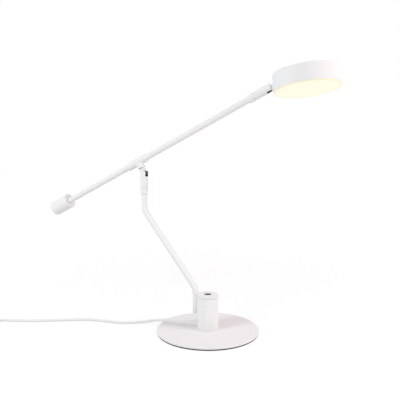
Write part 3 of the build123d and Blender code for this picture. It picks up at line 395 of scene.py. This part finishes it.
def make_coat_group():
    """Powder coat: a fine orange peel in the bump and the roughness, and a faint drift of tone."""
    group = bpy.data.node_groups.new("coat_grain", "ShaderNodeTree")
    group_socket(group, "Colour", "NodeSocketColor", "INPUT", (0.8, 0.8, 0.8, 1))
    group_socket(group, "Gloss", "NodeSocketFloat", "INPUT", 0.4)
    group_socket(group, "Peel", "NodeSocketFloat", "INPUT", 0.2)
    group_socket(group, "Grain size", "NodeSocketFloat", "INPUT", 1400.0)
    group_socket(group, "Colour", "NodeSocketColor", "OUTPUT")
    group_socket(group, "Roughness", "NodeSocketFloat", "OUTPUT")
    group_socket(group, "Normal", "NodeSocketVector", "OUTPUT")
    tree, link = group.nodes, group.links.new
    inputs, outputs = tree.new("NodeGroupInput"), tree.new("NodeGroupOutput")
    place = tree.new("ShaderNodeTexCoord")
    peel = tree.new("ShaderNodeTexNoise")
    peel.inputs["Detail"].default_value = PEEL_DETAIL
    drift = tree.new("ShaderNodeTexNoise")
    drift.inputs["Scale"].default_value = DRIFT_SCALE
    drift.inputs["Detail"].default_value = DRIFT_DETAIL
    tone = tree.new("ShaderNodeMapRange")
    tone.inputs["To Min"].default_value, tone.inputs["To Max"].default_value = DRIFT_TONES
    shade = tree.new("ShaderNodeVectorMath")
    shade.operation = "SCALE"
    rough = tree.new("ShaderNodeMath")
    rough.operation = "MULTIPLY_ADD"
    rough.inputs[1].default_value = PEEL_ROUGHNESS
    bump = tree.new("ShaderNodeBump")
    bump.inputs["Distance"].default_value = PEEL_DEPTH
    link(place.outputs["Object"], peel.inputs["Vector"])
    link(inputs.outputs["Grain size"], peel.inputs["Scale"])
    link(place.outputs["Object"], drift.inputs["Vector"])
    link(drift.outputs["Fac"], tone.inputs["Value"])
    link(inputs.outputs["Colour"], shade.inputs[0])
    link(tone.outputs["Result"], shade.inputs["Scale"])
    link(shade.outputs["Vector"], outputs.inputs["Colour"])
    link(peel.outputs["Fac"], rough.inputs[0])
    link(inputs.outputs["Gloss"], rough.inputs[2])
    link(rough.outputs["Value"], outputs.inputs["Roughness"])
    link(inputs.outputs["Peel"], bump.inputs["Strength"])
    link(peel.outputs["Fac"], bump.inputs["Height"])
    link(bump.outputs["Normal"], outputs.inputs["Normal"])
    return group


COAT_GRAIN = make_coat_group()


def finish(name, colour, gloss, peel=0.2, grain=1400.0, metallic=0.0):
    """A material whose colour, roughness and bump come from the coat group."""
    material = bpy.data.materials.new(name)
    material.use_nodes = True
    tree = material.node_tree
    shader = tree.nodes["Principled BSDF"]
    shader.inputs["Metallic"].default_value = metallic
    shader.inputs["Specular IOR Level"].default_value = COAT_SPECULAR
    coating = tree.nodes.new("ShaderNodeGroup")
    coating.node_tree = COAT_GRAIN
    coating.inputs["Colour"].default_value = (*colour, 1)
    coating.inputs["Gloss"].default_value = gloss
    coating.inputs["Peel"].default_value = peel
    coating.inputs["Grain size"].default_value = grain
    tree.links.new(coating.outputs["Colour"], shader.inputs["Base Color"])
    tree.links.new(coating.outputs["Roughness"], shader.inputs["Roughness"])
    tree.links.new(coating.outputs["Normal"], shader.inputs["Normal"])
    return material


def rim_tint(tree, rim, middle, edge):
    """Colour that keeps one value over the disc and turns to another near its edge."""
    tint = tree.nodes.new("ShaderNodeValToRGB")
    ramp = tint.color_ramp
    ramp.elements[0].position = RIM_START
    ramp.elements[0].color = (*middle, 1)
    ramp.elements[1].position = 1.0
    ramp.elements[1].color = (*edge, 1)
    tree.links.new(rim.outputs["Fac"], tint.inputs["Fac"])
    return tint.outputs["Color"]


def glowing_diffuser():
    """Opal plastic lit from behind: pale yellow white, a little deeper at its edge."""
    material = bpy.data.materials.new("opal_diffuser")
    material.use_nodes = True
    tree = material.node_tree
    shader = tree.nodes["Principled BSDF"]
    shader.inputs["Roughness"].default_value = OPAL_GLOSS
    shader.inputs["Specular IOR Level"].default_value = OPAL_SPECULAR
    shader.inputs["Emission Strength"].default_value = 1.0
    rim = tree.nodes.new("ShaderNodeAttribute")
    rim.attribute_name = "towards_edge"
    base = rim_tint(tree, rim, (0.55, 0.55, 0.42), (0.55, 0.54, 0.38))
    glow = rim_tint(tree, rim, (0.485, 0.475, 0.37), (0.41, 0.385, 0.25))
    tree.links.new(base, shader.inputs["Base Color"])
    tree.links.new(glow, shader.inputs["Emission Color"])
    return material


def calculated(tree, operation, *values, kind="ShaderNodeMath", output="Value"):
    """Output of a math node whose inputs are fed by sockets or hold plain numbers or vectors."""
    node = tree.nodes.new(kind)
    node.operation = operation
    for socket, value in zip(node.inputs, values):
        if isinstance(value, bpy.types.NodeSocket):
            tree.links.new(value, socket)
        else:
            socket.default_value = value
    return node.outputs[output]


def vector_calculated(tree, operation, *values, output="Value"):
    """Output of a vector math node."""
    return calculated(tree, operation, *values, kind="ShaderNodeVectorMath", output=output)


def painted_shade_finish(name, mask_of, shade_colour):
    """The white coat with a painted shade: a dark colour where a mask says that shade falls."""
    material = finish(name, WHITE, COAT_GLOSS, peel=0.25)
    tree = material.node_tree
    shader = tree.nodes["Principled BSDF"]
    mask = mask_of(tree, tree.nodes.new("ShaderNodeTexCoord").outputs["Object"])
    colour_sockets, number_sockets = (6, 7, 2), (2, 3, 0)
    # painted shade: the mask swaps the coat's colour and roughness for the dark shade colour
    shade_values = (
        ("Base Color", "RGBA", colour_sockets, (*shade_colour, 1)),
        ("Roughness", "FLOAT", number_sockets, SHADE_GLOSS),
    )
    for socket, data_type, (coated, shaded, result), value in shade_values:
        blend = tree.nodes.new("ShaderNodeMix")
        blend.data_type = data_type
        tree.links.new(mask, blend.inputs[0])
        tree.links.new(shader.inputs[socket].links[0].from_socket, blend.inputs[coated])
        blend.inputs[shaded].default_value = value
        tree.links.new(blend.outputs[result], shader.inputs[socket])
    return material


def near_point(point, reach):
    """Mask that is one within a distance of a point."""
    def mask_of(tree, place):
        return calculated(tree, "LESS_THAN", vector_calculated(tree, "DISTANCE", place, point), reach)
    return mask_of


def round_axis(place_round, reach):
    """Mask that is one within a distance of a place's Z, on the side it points to."""
    origin = place_round[:3, 3]
    way = place_round[:3, 2]

    def mask_of(tree, place):
        off = vector_calculated(tree, "SUBTRACT", place, origin, output="Vector")
        across = vector_calculated(tree, "CROSS_PRODUCT", off, way, output="Vector")
        near = calculated(tree, "LESS_THAN", vector_calculated(tree, "LENGTH", across), reach)
        ahead = calculated(tree, "GREATER_THAN", vector_calculated(tree, "DOT_PRODUCT", off, way), 0.0)
        return calculated(tree, "MULTIPLY", near, ahead)
    return mask_of


def inside_slot(joint_place, half_wide, floor):
    """Mask that is one between a slot's cheeks and above its floor."""
    side = joint_place[:3, 1]
    up = joint_place[:3, 2]
    origin = joint_place[:3, 3]

    def mask_of(tree, place):
        across = vector_calculated(tree, "DOT_PRODUCT", place, side)
        off = calculated(tree, "ABSOLUTE", calculated(tree, "SUBTRACT", across, float(origin @ side)))
        between = calculated(tree, "LESS_THAN", off, half_wide)
        along = vector_calculated(tree, "DOT_PRODUCT", place, up)
        above = calculated(tree, "GREATER_THAN", along, float(origin @ up) + floor)
        return calculated(tree, "MULTIPLY", between, above)
    return mask_of


WHITE = (0.88, 0.875, 0.87)
COAT_GLOSS = 0.50
SHADE_GLOSS = 0.6
# painted shade: near-black colours inside the joints' slots and on the tongues round their pivots, where the deep
# slots lie in shade
LOWER_JOINT_SHADE = (0.05, 0.046, 0.043)
UPPER_JOINT_SHADE = (0.12, 0.10, 0.085)
# painted shade: dark grey on the post round the cord's exit, where a shadow gap falls
CORD_EXIT_SHADE = (0.14, 0.14, 0.14)
SLOT_MASK_WIDE = 4.87 * MM
SLOT_MASK_FLOOR = 23.3 * MM
TONGUE_MASK = 6.6 * MM
CORD_EXIT_SHADE_REACH = 6.65 * MM
slot_mask = SLOT_MASK_WIDE, SLOT_MASK_FLOOR
# painted shade inside each clevis slot and on each tongue near its pivot
lower_slot = painted_shade_finish("lower_slot", inside_slot(lower_joint, *slot_mask), LOWER_JOINT_SHADE)
upper_slot = painted_shade_finish("upper_slot", inside_slot(upper_joint, *slot_mask), UPPER_JOINT_SHADE)
lower_tongue = painted_shade_finish("lower_tongue", near_point(arm_place[:3, 3], TONGUE_MASK), LOWER_JOINT_SHADE)
upper_tongue = painted_shade_finish("upper_tongue", near_point(head_place[:3, 3], TONGUE_MASK), UPPER_JOINT_SHADE)
# painted shade: a dark grey disc on the post round the cord's exit
post_coat = painted_shade_finish("post_coat", round_axis(cord_place, CORD_EXIT_SHADE_REACH), CORD_EXIT_SHADE)
white_coat = finish("white_coat", WHITE, COAT_GLOSS, peel=0.25)
white_turned = finish("white_turned", WHITE, 0.46, peel=0.12)
cord_sheath = finish("cord_sheath", (0.84, 0.84, 0.83), 0.45, peel=0.10, grain=900.0)
plug_plastic = finish("plug_plastic", (0.82, 0.82, 0.81), 0.40, peel=0.25, grain=2200.0)
pad_foam = finish("pad_foam", (0.035, 0.035, 0.037), 0.80, peel=0.8, grain=1800.0)
key_plastic = finish("key_plastic", (0.085, 0.079, 0.074), 0.42, peel=0.35, grain=2500.0)
black_plastic = finish("black_plastic", (0.02, 0.02, 0.02), 0.45, peel=0.3)
bare_steel = finish("bare_steel", (0.42, 0.42, 0.43), 0.28, peel=0.15, grain=3000.0, metallic=1.0)
bare_aluminium = finish("bare_aluminium", (0.72, 0.73, 0.74), 0.35, peel=0.15, grain=2600.0, metallic=1.0)
pin_brass = finish("pin_brass", (0.66, 0.64, 0.60), 0.22, peel=0.05, metallic=1.0)
nylon = finish("nylon", (0.70, 0.70, 0.68), 0.5, peel=0.1)
board_white = finish("board_white", (0.75, 0.77, 0.74), 0.4, peel=0.1)
led_gel = finish("led_gel", (0.90, 0.72, 0.20), 0.2, peel=0.05)
opal = glowing_diffuser()

NODE_FINISH = {
    "bare_steel": bare_steel,
    "bare_aluminium": bare_aluminium,
    "white_steel": white_coat,
    "white_aluminium": white_coat,
    "nylon_washer": nylon,
    "pad_foam": pad_foam,
    "dark_key": key_plastic,
    "switch_black": black_plastic,
    "circuit_board": board_white,
    "driver_case": plug_plastic,
    "led_chip": led_gel,
    "opal_diffuser": opal,
    "white_cord": cord_sheath,
    "wire_sheath": cord_sheath,
    "plug_white": plug_plastic,
    "plug_brass": pin_brass,
}
# nodes whose slots and tongues carry painted shade
MASKED_NODES = {
    "base_clevis": lower_slot,
    "head_clevis": upper_slot,
    "base_tongue": lower_tongue,
    "head_tongue": upper_tongue,
}


def dress_nodes():
    """Every node gets its slot's material, or its own one with a painted shade."""
    for part in frame["record"]["subparts"]:
        node = nodes[part["node"]]
        node.data.materials.clear()
        node.data.materials.append(MASKED_NODES.get(part["node"], NODE_FINISH[part["material_slot"]]))


dress_nodes()
cord.data.materials.append(cord_sheath)


# ---------------------------------------------------------------- base and post

def level(node):
    """Lowest and highest level of a node."""
    low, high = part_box(node)
    return low[2], high[2]


BASE_RADIUS = 95.0 * MM
PLATE_EDGE = 0.6 * MM
PLATE_UNDER_EDGE = 0.25 * MM
PAD_RADIUS = 94.0 * MM
PAD_EDGE = 0.5 * MM
PAD_UPPER_EDGE = 0.2 * MM
POST_RADIUS = 20.0 * MM
POST_SIDES = 240
STEM_RADIUS = 6.0 * MM
STEM_BACK = -24.7 * MM
FLUTE_RADIUS = 6.3 * MM
SEAM_DEEP = 0.6 * MM
SEAM_TALL = 0.3 * MM
CAP_EDGE = 0.4 * MM
CAP_FLAT_GUARD = 0.15 * MM
CAP_SIDE_GUARD = 0.1 * MM
SHARP_EDGE = 0.12 * MM
SEAM_BEVEL = SHARP_EDGE * 0.3
STEM_FOOT = 33.0 * MM
KEY_RADIUS = 6.5 * MM
KEY_HOLE = 6.8 * MM
KEY_EDGE = 0.4 * MM
KEY_DISH = 0.5 * MM
KEY_STEPS = 4
KEY_UNDER_EDGE = 0.1 * MM
KEY_BOWL_SHARE = 0.9
KEY_BOWL_ROUNDING = 0.02 * MM
WELL_EDGE = 0.15 * MM
WELL_DEEP = 2.4 * MM
WELL_FLAT_GUARD = 0.1 * MM

plate_low, plate_top = level("base_plate")
post_top = level("post_cap")[1]
seat_level = level("post_housing")[1]


def make_plate():
    """Flat disc turned about Z, its upper edge rounded more than its lower one."""
    corners = [
        (0, plate_top, 0),
        (BASE_RADIUS, plate_top, PLATE_EDGE),
        (BASE_RADIUS, plate_low, PLATE_UNDER_EDGE),
        (0, plate_low, 0),
    ]
    return lathe(
        "base_disc", corners, table_place, WIDE_SIDES, "root", ["base_plate"], white_coat
    )


def make_pad():
    """Thinner disc turned about Z under the plate, rounded where it meets the table."""
    corners = [
        (0, plate_low, 0),
        (PAD_RADIUS, plate_low, PAD_UPPER_EDGE),
        (PAD_RADIUS, 0, PAD_EDGE),
        (0, 0, 0),
    ]
    return lathe("foot_pad", corners, table_place, DISC_SIDES, "root", ["base_pad"], pad_foam)


def fluted_outline(sides):
    """Radius of the post at each angle: its circle, or the ray's nearer crossing with the flute's
    circle round the stem where that comes first."""
    angle = np.arange(sides) * 2 * math.pi / sides
    along = np.cos(angle) * STEM_BACK
    inside = along ** 2 - STEM_BACK ** 2 + FLUTE_RADIUS ** 2
    cut = along - np.sqrt(np.maximum(inside, 0))
    radius = np.where((inside > 0) & (along > 0), np.minimum(cut, POST_RADIUS), POST_RADIUS)
    return angle, radius


def fluted_grid(rows, fluted_from=0):
    """Rings (draw-in, level) of the post's outline, plain below and fluted above: each ring lies the
    draw-in inside the outline."""
    angle, radius = fluted_outline(POST_SIDES)
    rows = np.array(rows)
    grid = np.empty((len(rows), POST_SIDES, 3))
    fluted = np.arange(len(rows))[:, None] >= fluted_from
    reach = np.where(fluted, radius[None, :], POST_RADIUS) - rows[:, :1]
    grid[..., 0] = reach * np.cos(angle)
    grid[..., 1] = reach * np.sin(angle)
    grid[..., 2] = rows[:, 1:]
    return grid


def make_post():
    """Upright fluted drum with a narrow rebate round its top, where the cap sits."""
    edge = SHARP_EDGE
    seam = seat_level - SEAM_TALL
    plain_rows = [(edge, plate_top), (0, plate_top + edge), (0, STEM_FOOT - edge), (0, STEM_FOOT)]
    fluted_rows = [
        (0, STEM_FOOT),
        (0, STEM_FOOT + edge),
        (0, seam - edge),
        (SEAM_BEVEL, seam - SEAM_BEVEL),
        (edge, seam),
        (SEAM_DEEP, seam),
        (SEAM_DEEP, seat_level),
    ]
    grid = fluted_grid(plain_rows + fluted_rows, fluted_from=len(plain_rows))
    vertices, faces = closed_rows(grid, (0, 0, plate_top), (0, 0, seat_level))
    return mesh_piece(
        # the post's material carries the painted shade round the cord's exit
        "post_body", vertices, faces, "root", ["post_housing"], post_coat
    )


def make_cap():
    """Fluted cap with a round well for the key, its top edge and the well's edge softly rounded."""
    quarter = np.linspace(0, math.pi / 2, 6)
    drawn_in, drop = 1 - np.cos(quarter), 1 - np.sin(quarter)
    outer = [
        (SHARP_EDGE, seat_level),
        (0, seat_level + SHARP_EDGE),
        (0, post_top - CAP_EDGE - CAP_SIDE_GUARD),
        *np.stack([CAP_EDGE * drawn_in, post_top - CAP_EDGE * drop], 1),
        (CAP_EDGE + CAP_FLAT_GUARD, post_top),
    ]
    outer_grid = fluted_grid(outer)
    angle = np.arange(POST_SIDES) * 2 * math.pi / POST_SIDES
    well_floor = post_top - WELL_DEEP
    well = np.array([
        (KEY_HOLE + WELL_EDGE + WELL_FLAT_GUARD, post_top),
        *np.stack([KEY_HOLE + WELL_EDGE * drop, post_top - WELL_EDGE * drawn_in], 1),
        (KEY_HOLE, well_floor),
    ])
    well_grid = np.empty((len(well), POST_SIDES, 3))
    well_grid[..., 0] = well[:, :1] * np.cos(angle)
    well_grid[..., 1] = well[:, :1] * np.sin(angle)
    well_grid[..., 2] = well[:, 1:]
    grid = np.concatenate([outer_grid, well_grid])
    vertices, faces = closed_rows(grid, (0, 0, seat_level), (0, 0, well_floor))
    return mesh_piece("post_lid", vertices, faces, "root", ["post_cap"], white_coat)


def make_key():
    """Dished round key: its top rises with the square of the radius from the bowl's middle to its
    rim, which is rounded."""
    low, high = level("dimmer_key")
    bowl = np.linspace(0, 1, 8)[1:]
    reach = KEY_RADIUS * KEY_BOWL_SHARE
    corners = [(0, high - KEY_DISH, 0)]
    corners += [(reach * part, high - KEY_DISH * (1 - part ** 2), KEY_BOWL_ROUNDING) for part in bowl]
    corners += [(KEY_RADIUS, high, KEY_EDGE), (KEY_RADIUS, low, KEY_UNDER_EDGE), (0, low, 0)]
    return lathe(
        "round_key", corners, table_place, TUBE_SIDES, "key", ["dimmer_key"], key_plastic,
        steps=KEY_STEPS,
    )


make_plate()
make_pad()
make_post()
make_cap()
make_key()


# ---------------------------------------------------------------- stem

STEM_FIRST_BEND = 78.8 * MM
STEM_SECOND_BEND = 221.8 * MM
STEM_BEND_RADIUS = 32.0 * MM
STEM_BEND_STEP = 1.2 * MM
TUBE_EDGE = 0.1 * MM
AXIS_BACK = joints["base_swivel"]["pos_m"][0]


def make_stem():
    """Round tube along an upright run, a run that leans back and an upright run, joined by arcs."""
    stem_low, stem_top = level("stem_tube")
    corners = [
        (STEM_BACK, 0, stem_low),
        (STEM_BACK, 0, STEM_FIRST_BEND),
        (AXIS_BACK, 0, STEM_SECOND_BEND),
        (AXIS_BACK, 0, stem_top),
    ]
    line = bent_line(corners, STEM_BEND_RADIUS, STEM_BEND_STEP)
    return pipe(
        "bent_stem", *line, STEM_RADIUS, TUBE_EDGE, "root", ["stem_tube"], "white_steel", white_coat
    )


make_stem()


# ---------------------------------------------------------------- arm

ARM_RADIUS = 5.75 * MM
WEIGHT_RADIUS = 15.0 * MM
WEIGHT_REAR = -236.35 * MM
WEIGHT_FRONT = -192.65 * MM
WEIGHT_EDGE = 2.0 * MM
WEIGHT_RECESS = 8.5 * MM
WEIGHT_RECESS_DEEP = 1.2 * MM
WEIGHT_WELL = 4.6 * MM
WEIGHT_WELL_DEEP = 5.4 * MM
WEIGHT_FRONT_EDGE = 0.6 * MM
WEIGHT_RIM_EDGE = 0.3 * MM
WEIGHT_BORE = ARM_RADIUS + 0.03 * MM
WEIGHT_BORE_DEEP = 8.0 * MM
WEIGHT_SCREW_HOLE = 2.6 * MM
WEIGHT_SCREW_HOLE_DEEP = 2.0 * MM
UPPER_SEAM = 262.45 * MM
TUBE_FRONT = UPPER_SEAM - 4.0 * MM
TUBE_REAR = WEIGHT_REAR + 7.95 * MM


def make_arm():
    """Straight round tube turned about the arm's line, closed at both ends."""
    corners = [
        (0, TUBE_FRONT, 0),
        (ARM_RADIUS, TUBE_FRONT, TUBE_EDGE),
        (ARM_RADIUS, TUBE_REAR, TUBE_EDGE),
        (0, TUBE_REAR, 0),
    ]
    return lathe(
        "long_arm", corners, arm_line, TUBE_SIDES, "arm", ["arm_tube"], white_coat
    )


def make_weight():
    """Turned cylinder with a recess round the arm in front and a well for its screw behind."""
    recess_floor = WEIGHT_FRONT - WEIGHT_RECESS_DEEP
    well_floor = WEIGHT_REAR + WEIGHT_WELL_DEEP
    corners = [
        (WEIGHT_BORE, recess_floor - WEIGHT_BORE_DEEP, 0),
        (WEIGHT_BORE, recess_floor, TUBE_EDGE),
        (WEIGHT_RECESS, recess_floor, TUBE_EDGE),
        (WEIGHT_RECESS, WEIGHT_FRONT, WEIGHT_RIM_EDGE),
        (WEIGHT_RADIUS, WEIGHT_FRONT, WEIGHT_FRONT_EDGE),
        (WEIGHT_RADIUS, WEIGHT_REAR, WEIGHT_EDGE),
        (WEIGHT_WELL, WEIGHT_REAR, WEIGHT_RIM_EDGE),
        (WEIGHT_WELL, well_floor, TUBE_EDGE),
        (WEIGHT_SCREW_HOLE, well_floor, TUBE_EDGE),
        (WEIGHT_SCREW_HOLE, well_floor + WEIGHT_SCREW_HOLE_DEEP, 0),
    ]
    return lathe(
        "turned_weight", corners, arm_line, WEIGHT_SIDES, "arm", ["counterweight"],
        white_turned,
    )


make_arm()
make_weight()


# ---------------------------------------------------------------- head

DRUM_RADIUS = 55.3 * MM
DRUM_TOP = 14.1 * MM
DRUM_RIM = -14.4 * MM
DRUM_WALL = 1.6 * MM
DRUM_EDGE = 0.8 * MM
DRUM_ROOF = 1.8 * MM
DRUM_INNER_EDGE = 0.3 * MM
DIFFUSER_RADIUS = 54.8 * MM
DIFFUSER_THICK = 1.5 * MM
DIFFUSER_EDGE = 0.5 * MM
DIFFUSER_UPPER_EDGE = 0.1 * MM


def make_drum():
    """Flat drum turned about its own Z, open below, with walls of an even thickness."""
    inner = DRUM_RADIUS - DRUM_WALL
    roof = DRUM_TOP - DRUM_ROOF
    corners = [
        (0, DRUM_TOP, 0),
        (DRUM_RADIUS, DRUM_TOP, DRUM_EDGE),
        (DRUM_RADIUS, DRUM_RIM, DRUM_INNER_EDGE),
        (inner, DRUM_RIM, DRUM_INNER_EDGE),
        (inner, roof, DRUM_INNER_EDGE),
        (0, roof, 0),
    ]
    return lathe(
        "drum_shell", corners, drum_place, WIDE_SIDES, "head", ["head_shell"], white_coat
    )


def make_diffuser():
    """Flat opal disc, its lower edge rounded, with the distance from its middle kept for its tint."""
    low = DRUM_RIM - DIFFUSER_THICK
    corners = [
        (0, DRUM_RIM, 0),
        (DIFFUSER_RADIUS, DRUM_RIM, DIFFUSER_UPPER_EDGE),
        (DIFFUSER_RADIUS, low, DIFFUSER_EDGE),
        (0, low, 0),
    ]
    piece = lathe("opal_disc", corners, drum_place, DISC_SIDES, "head", ["diffuser"], opal)
    middle = drum_place[:3, 3]
    up = drum_place[:3, 2]
    points = np.empty(len(piece.data.vertices) * 3)
    piece.data.vertices.foreach_get("co", points)
    points = points.reshape(-1, 3) - middle
    flat = points - np.outer(points @ up, up)
    towards = piece.data.attributes.new("towards_edge", "FLOAT", "POINT")
    towards.data.foreach_set("value", np.linalg.norm(flat, axis=1) / DIFFUSER_RADIUS)
    return piece


make_drum()
make_diffuser()


# ---------------------------------------------------------------- table and light

TABLE_HALF = 6.0
TABLE_COLOUR = 0.78
TABLE_SEEN_COLOUR = 0.27
TABLE_GLOW_NEAR = 0.761
TABLE_GLOW_FAR = 0.86
TABLE_FADE_START = 0.25
TABLE_FADE_END = 1.6
WORLD_LIGHT = 0.635
WORLD_TINT = (0.985, 0.91, 0.915)
LIGHTS_AIM = (-0.05, 0.0, 0.12)
LIGHTS_FAR = 1.6
# name, heading and rise in degrees, width and height in metres, watts and colour
LIGHTS = (
    ("right_softbox", 2, 22, (0.75, 1.10), 9.35, (1.0, 0.985, 0.985)),
    ("left_softbox", 242, 31, (0.45, 0.45), 8.5, (0.84, 1.0, 1.0)),
    ("top_softbox", 180, 88, (1.20, 1.20), 1.65, (0.95, 0.62, 1.0)),
)


def seen_rays(tree):
    """One for rays from the camera, in reflections and through glass, and nought for the rest."""
    rays = tree.nodes.new("ShaderNodeLightPath")
    seen = rays.outputs["Is Camera Ray"]
    for ray in ("Is Glossy Ray", "Is Transmission Ray"):
        seen = calculated(tree, "MAXIMUM", seen, rays.outputs[ray])
    return seen


def make_table():
    """Pale table that lights the lamp by its own colour. Seen, it is a darker colour under a glow that
    grows with the distance as the light on it fades, so that it stays white but for its shadows."""
    mesh = bpy.data.meshes.new("table")
    ends = (-TABLE_HALF, TABLE_HALF)
    mesh.from_pydata([(x, y, 0) for y in ends for x in ends], [], [(0, 1, 3, 2)])
    table = bpy.data.objects.new("table", mesh)
    bpy.context.scene.collection.objects.link(table)
    material = bpy.data.materials.new("pale_table")
    material.use_nodes = True
    tree = material.node_tree
    shader = tree.nodes["Principled BSDF"]
    shader.inputs["Roughness"].default_value = 0.9
    shader.inputs["Specular IOR Level"].default_value = 0.0
    shader.inputs["Emission Color"].default_value = (1, 1, 1, 1)
    seen = seen_rays(tree)
    colour = tree.nodes.new("ShaderNodeMapRange")
    colour.inputs["To Min"].default_value = TABLE_COLOUR
    colour.inputs["To Max"].default_value = TABLE_SEEN_COLOUR
    place = tree.nodes.new("ShaderNodeTexCoord")
    away = vector_calculated(tree, "LENGTH", place.outputs["Object"])
    fade = tree.nodes.new("ShaderNodeMapRange")
    fade.interpolation_type = "SMOOTHSTEP"
    fade.inputs["From Min"].default_value = TABLE_FADE_START
    fade.inputs["From Max"].default_value = TABLE_FADE_END
    fade.inputs["To Min"].default_value = TABLE_GLOW_NEAR
    fade.inputs["To Max"].default_value = TABLE_GLOW_FAR
    tree.links.new(seen, colour.inputs["Value"])
    tree.links.new(colour.outputs["Result"], shader.inputs["Base Color"])
    tree.links.new(away, fade.inputs["Value"])
    glow = calculated(tree, "MULTIPLY", fade.outputs["Result"], seen)
    tree.links.new(glow, shader.inputs["Emission Strength"])
    mesh.materials.append(material)


def make_world():
    """Soft white surroundings, seen as plain white."""
    world = bpy.data.worlds.new("studio")
    bpy.context.scene.world = world
    world.use_nodes = True
    tree = world.node_tree
    light = tree.nodes["Background"]
    light.inputs["Color"].default_value = (*WORLD_TINT, 1)
    light.inputs["Strength"].default_value = WORLD_LIGHT
    seen = tree.nodes.new("ShaderNodeBackground")
    seen.inputs["Color"].default_value = (1, 1, 1, 1)
    seen.inputs["Strength"].default_value = 1.0
    mix = tree.nodes.new("ShaderNodeMixShader")
    tree.links.new(seen_rays(tree), mix.inputs["Fac"])
    tree.links.new(light.outputs["Background"], mix.inputs[1])
    tree.links.new(seen.outputs["Background"], mix.inputs[2])
    tree.links.new(mix.outputs["Shader"], tree.nodes["World Output"].inputs["Surface"])


def softbox(name, azimuth, elevation, size, power, colour):
    """Rectangular light at a heading and a rise as seen from the lamp, turned to face it."""
    heading, rise = math.radians(azimuth), math.radians(elevation)
    way = Vector((math.cos(heading) * math.cos(rise), math.sin(heading) * math.cos(rise), math.sin(rise)))
    data = bpy.data.lights.new(name, "AREA")
    data.shape = "RECTANGLE"
    data.size, data.size_y = size
    data.energy = power
    data.color = colour
    light = bpy.data.objects.new(name, data)
    bpy.context.scene.collection.objects.link(light)
    light.location = Vector(LIGHTS_AIM) + way * LIGHTS_FAR
    light.rotation_mode = "QUATERNION"
    light.rotation_quaternion = way.to_track_quat("Z", "Y")


make_table()
make_world()
for light in LIGHTS:
    softbox(*light)

bpy.context.scene.view_settings.view_transform = "Standard"
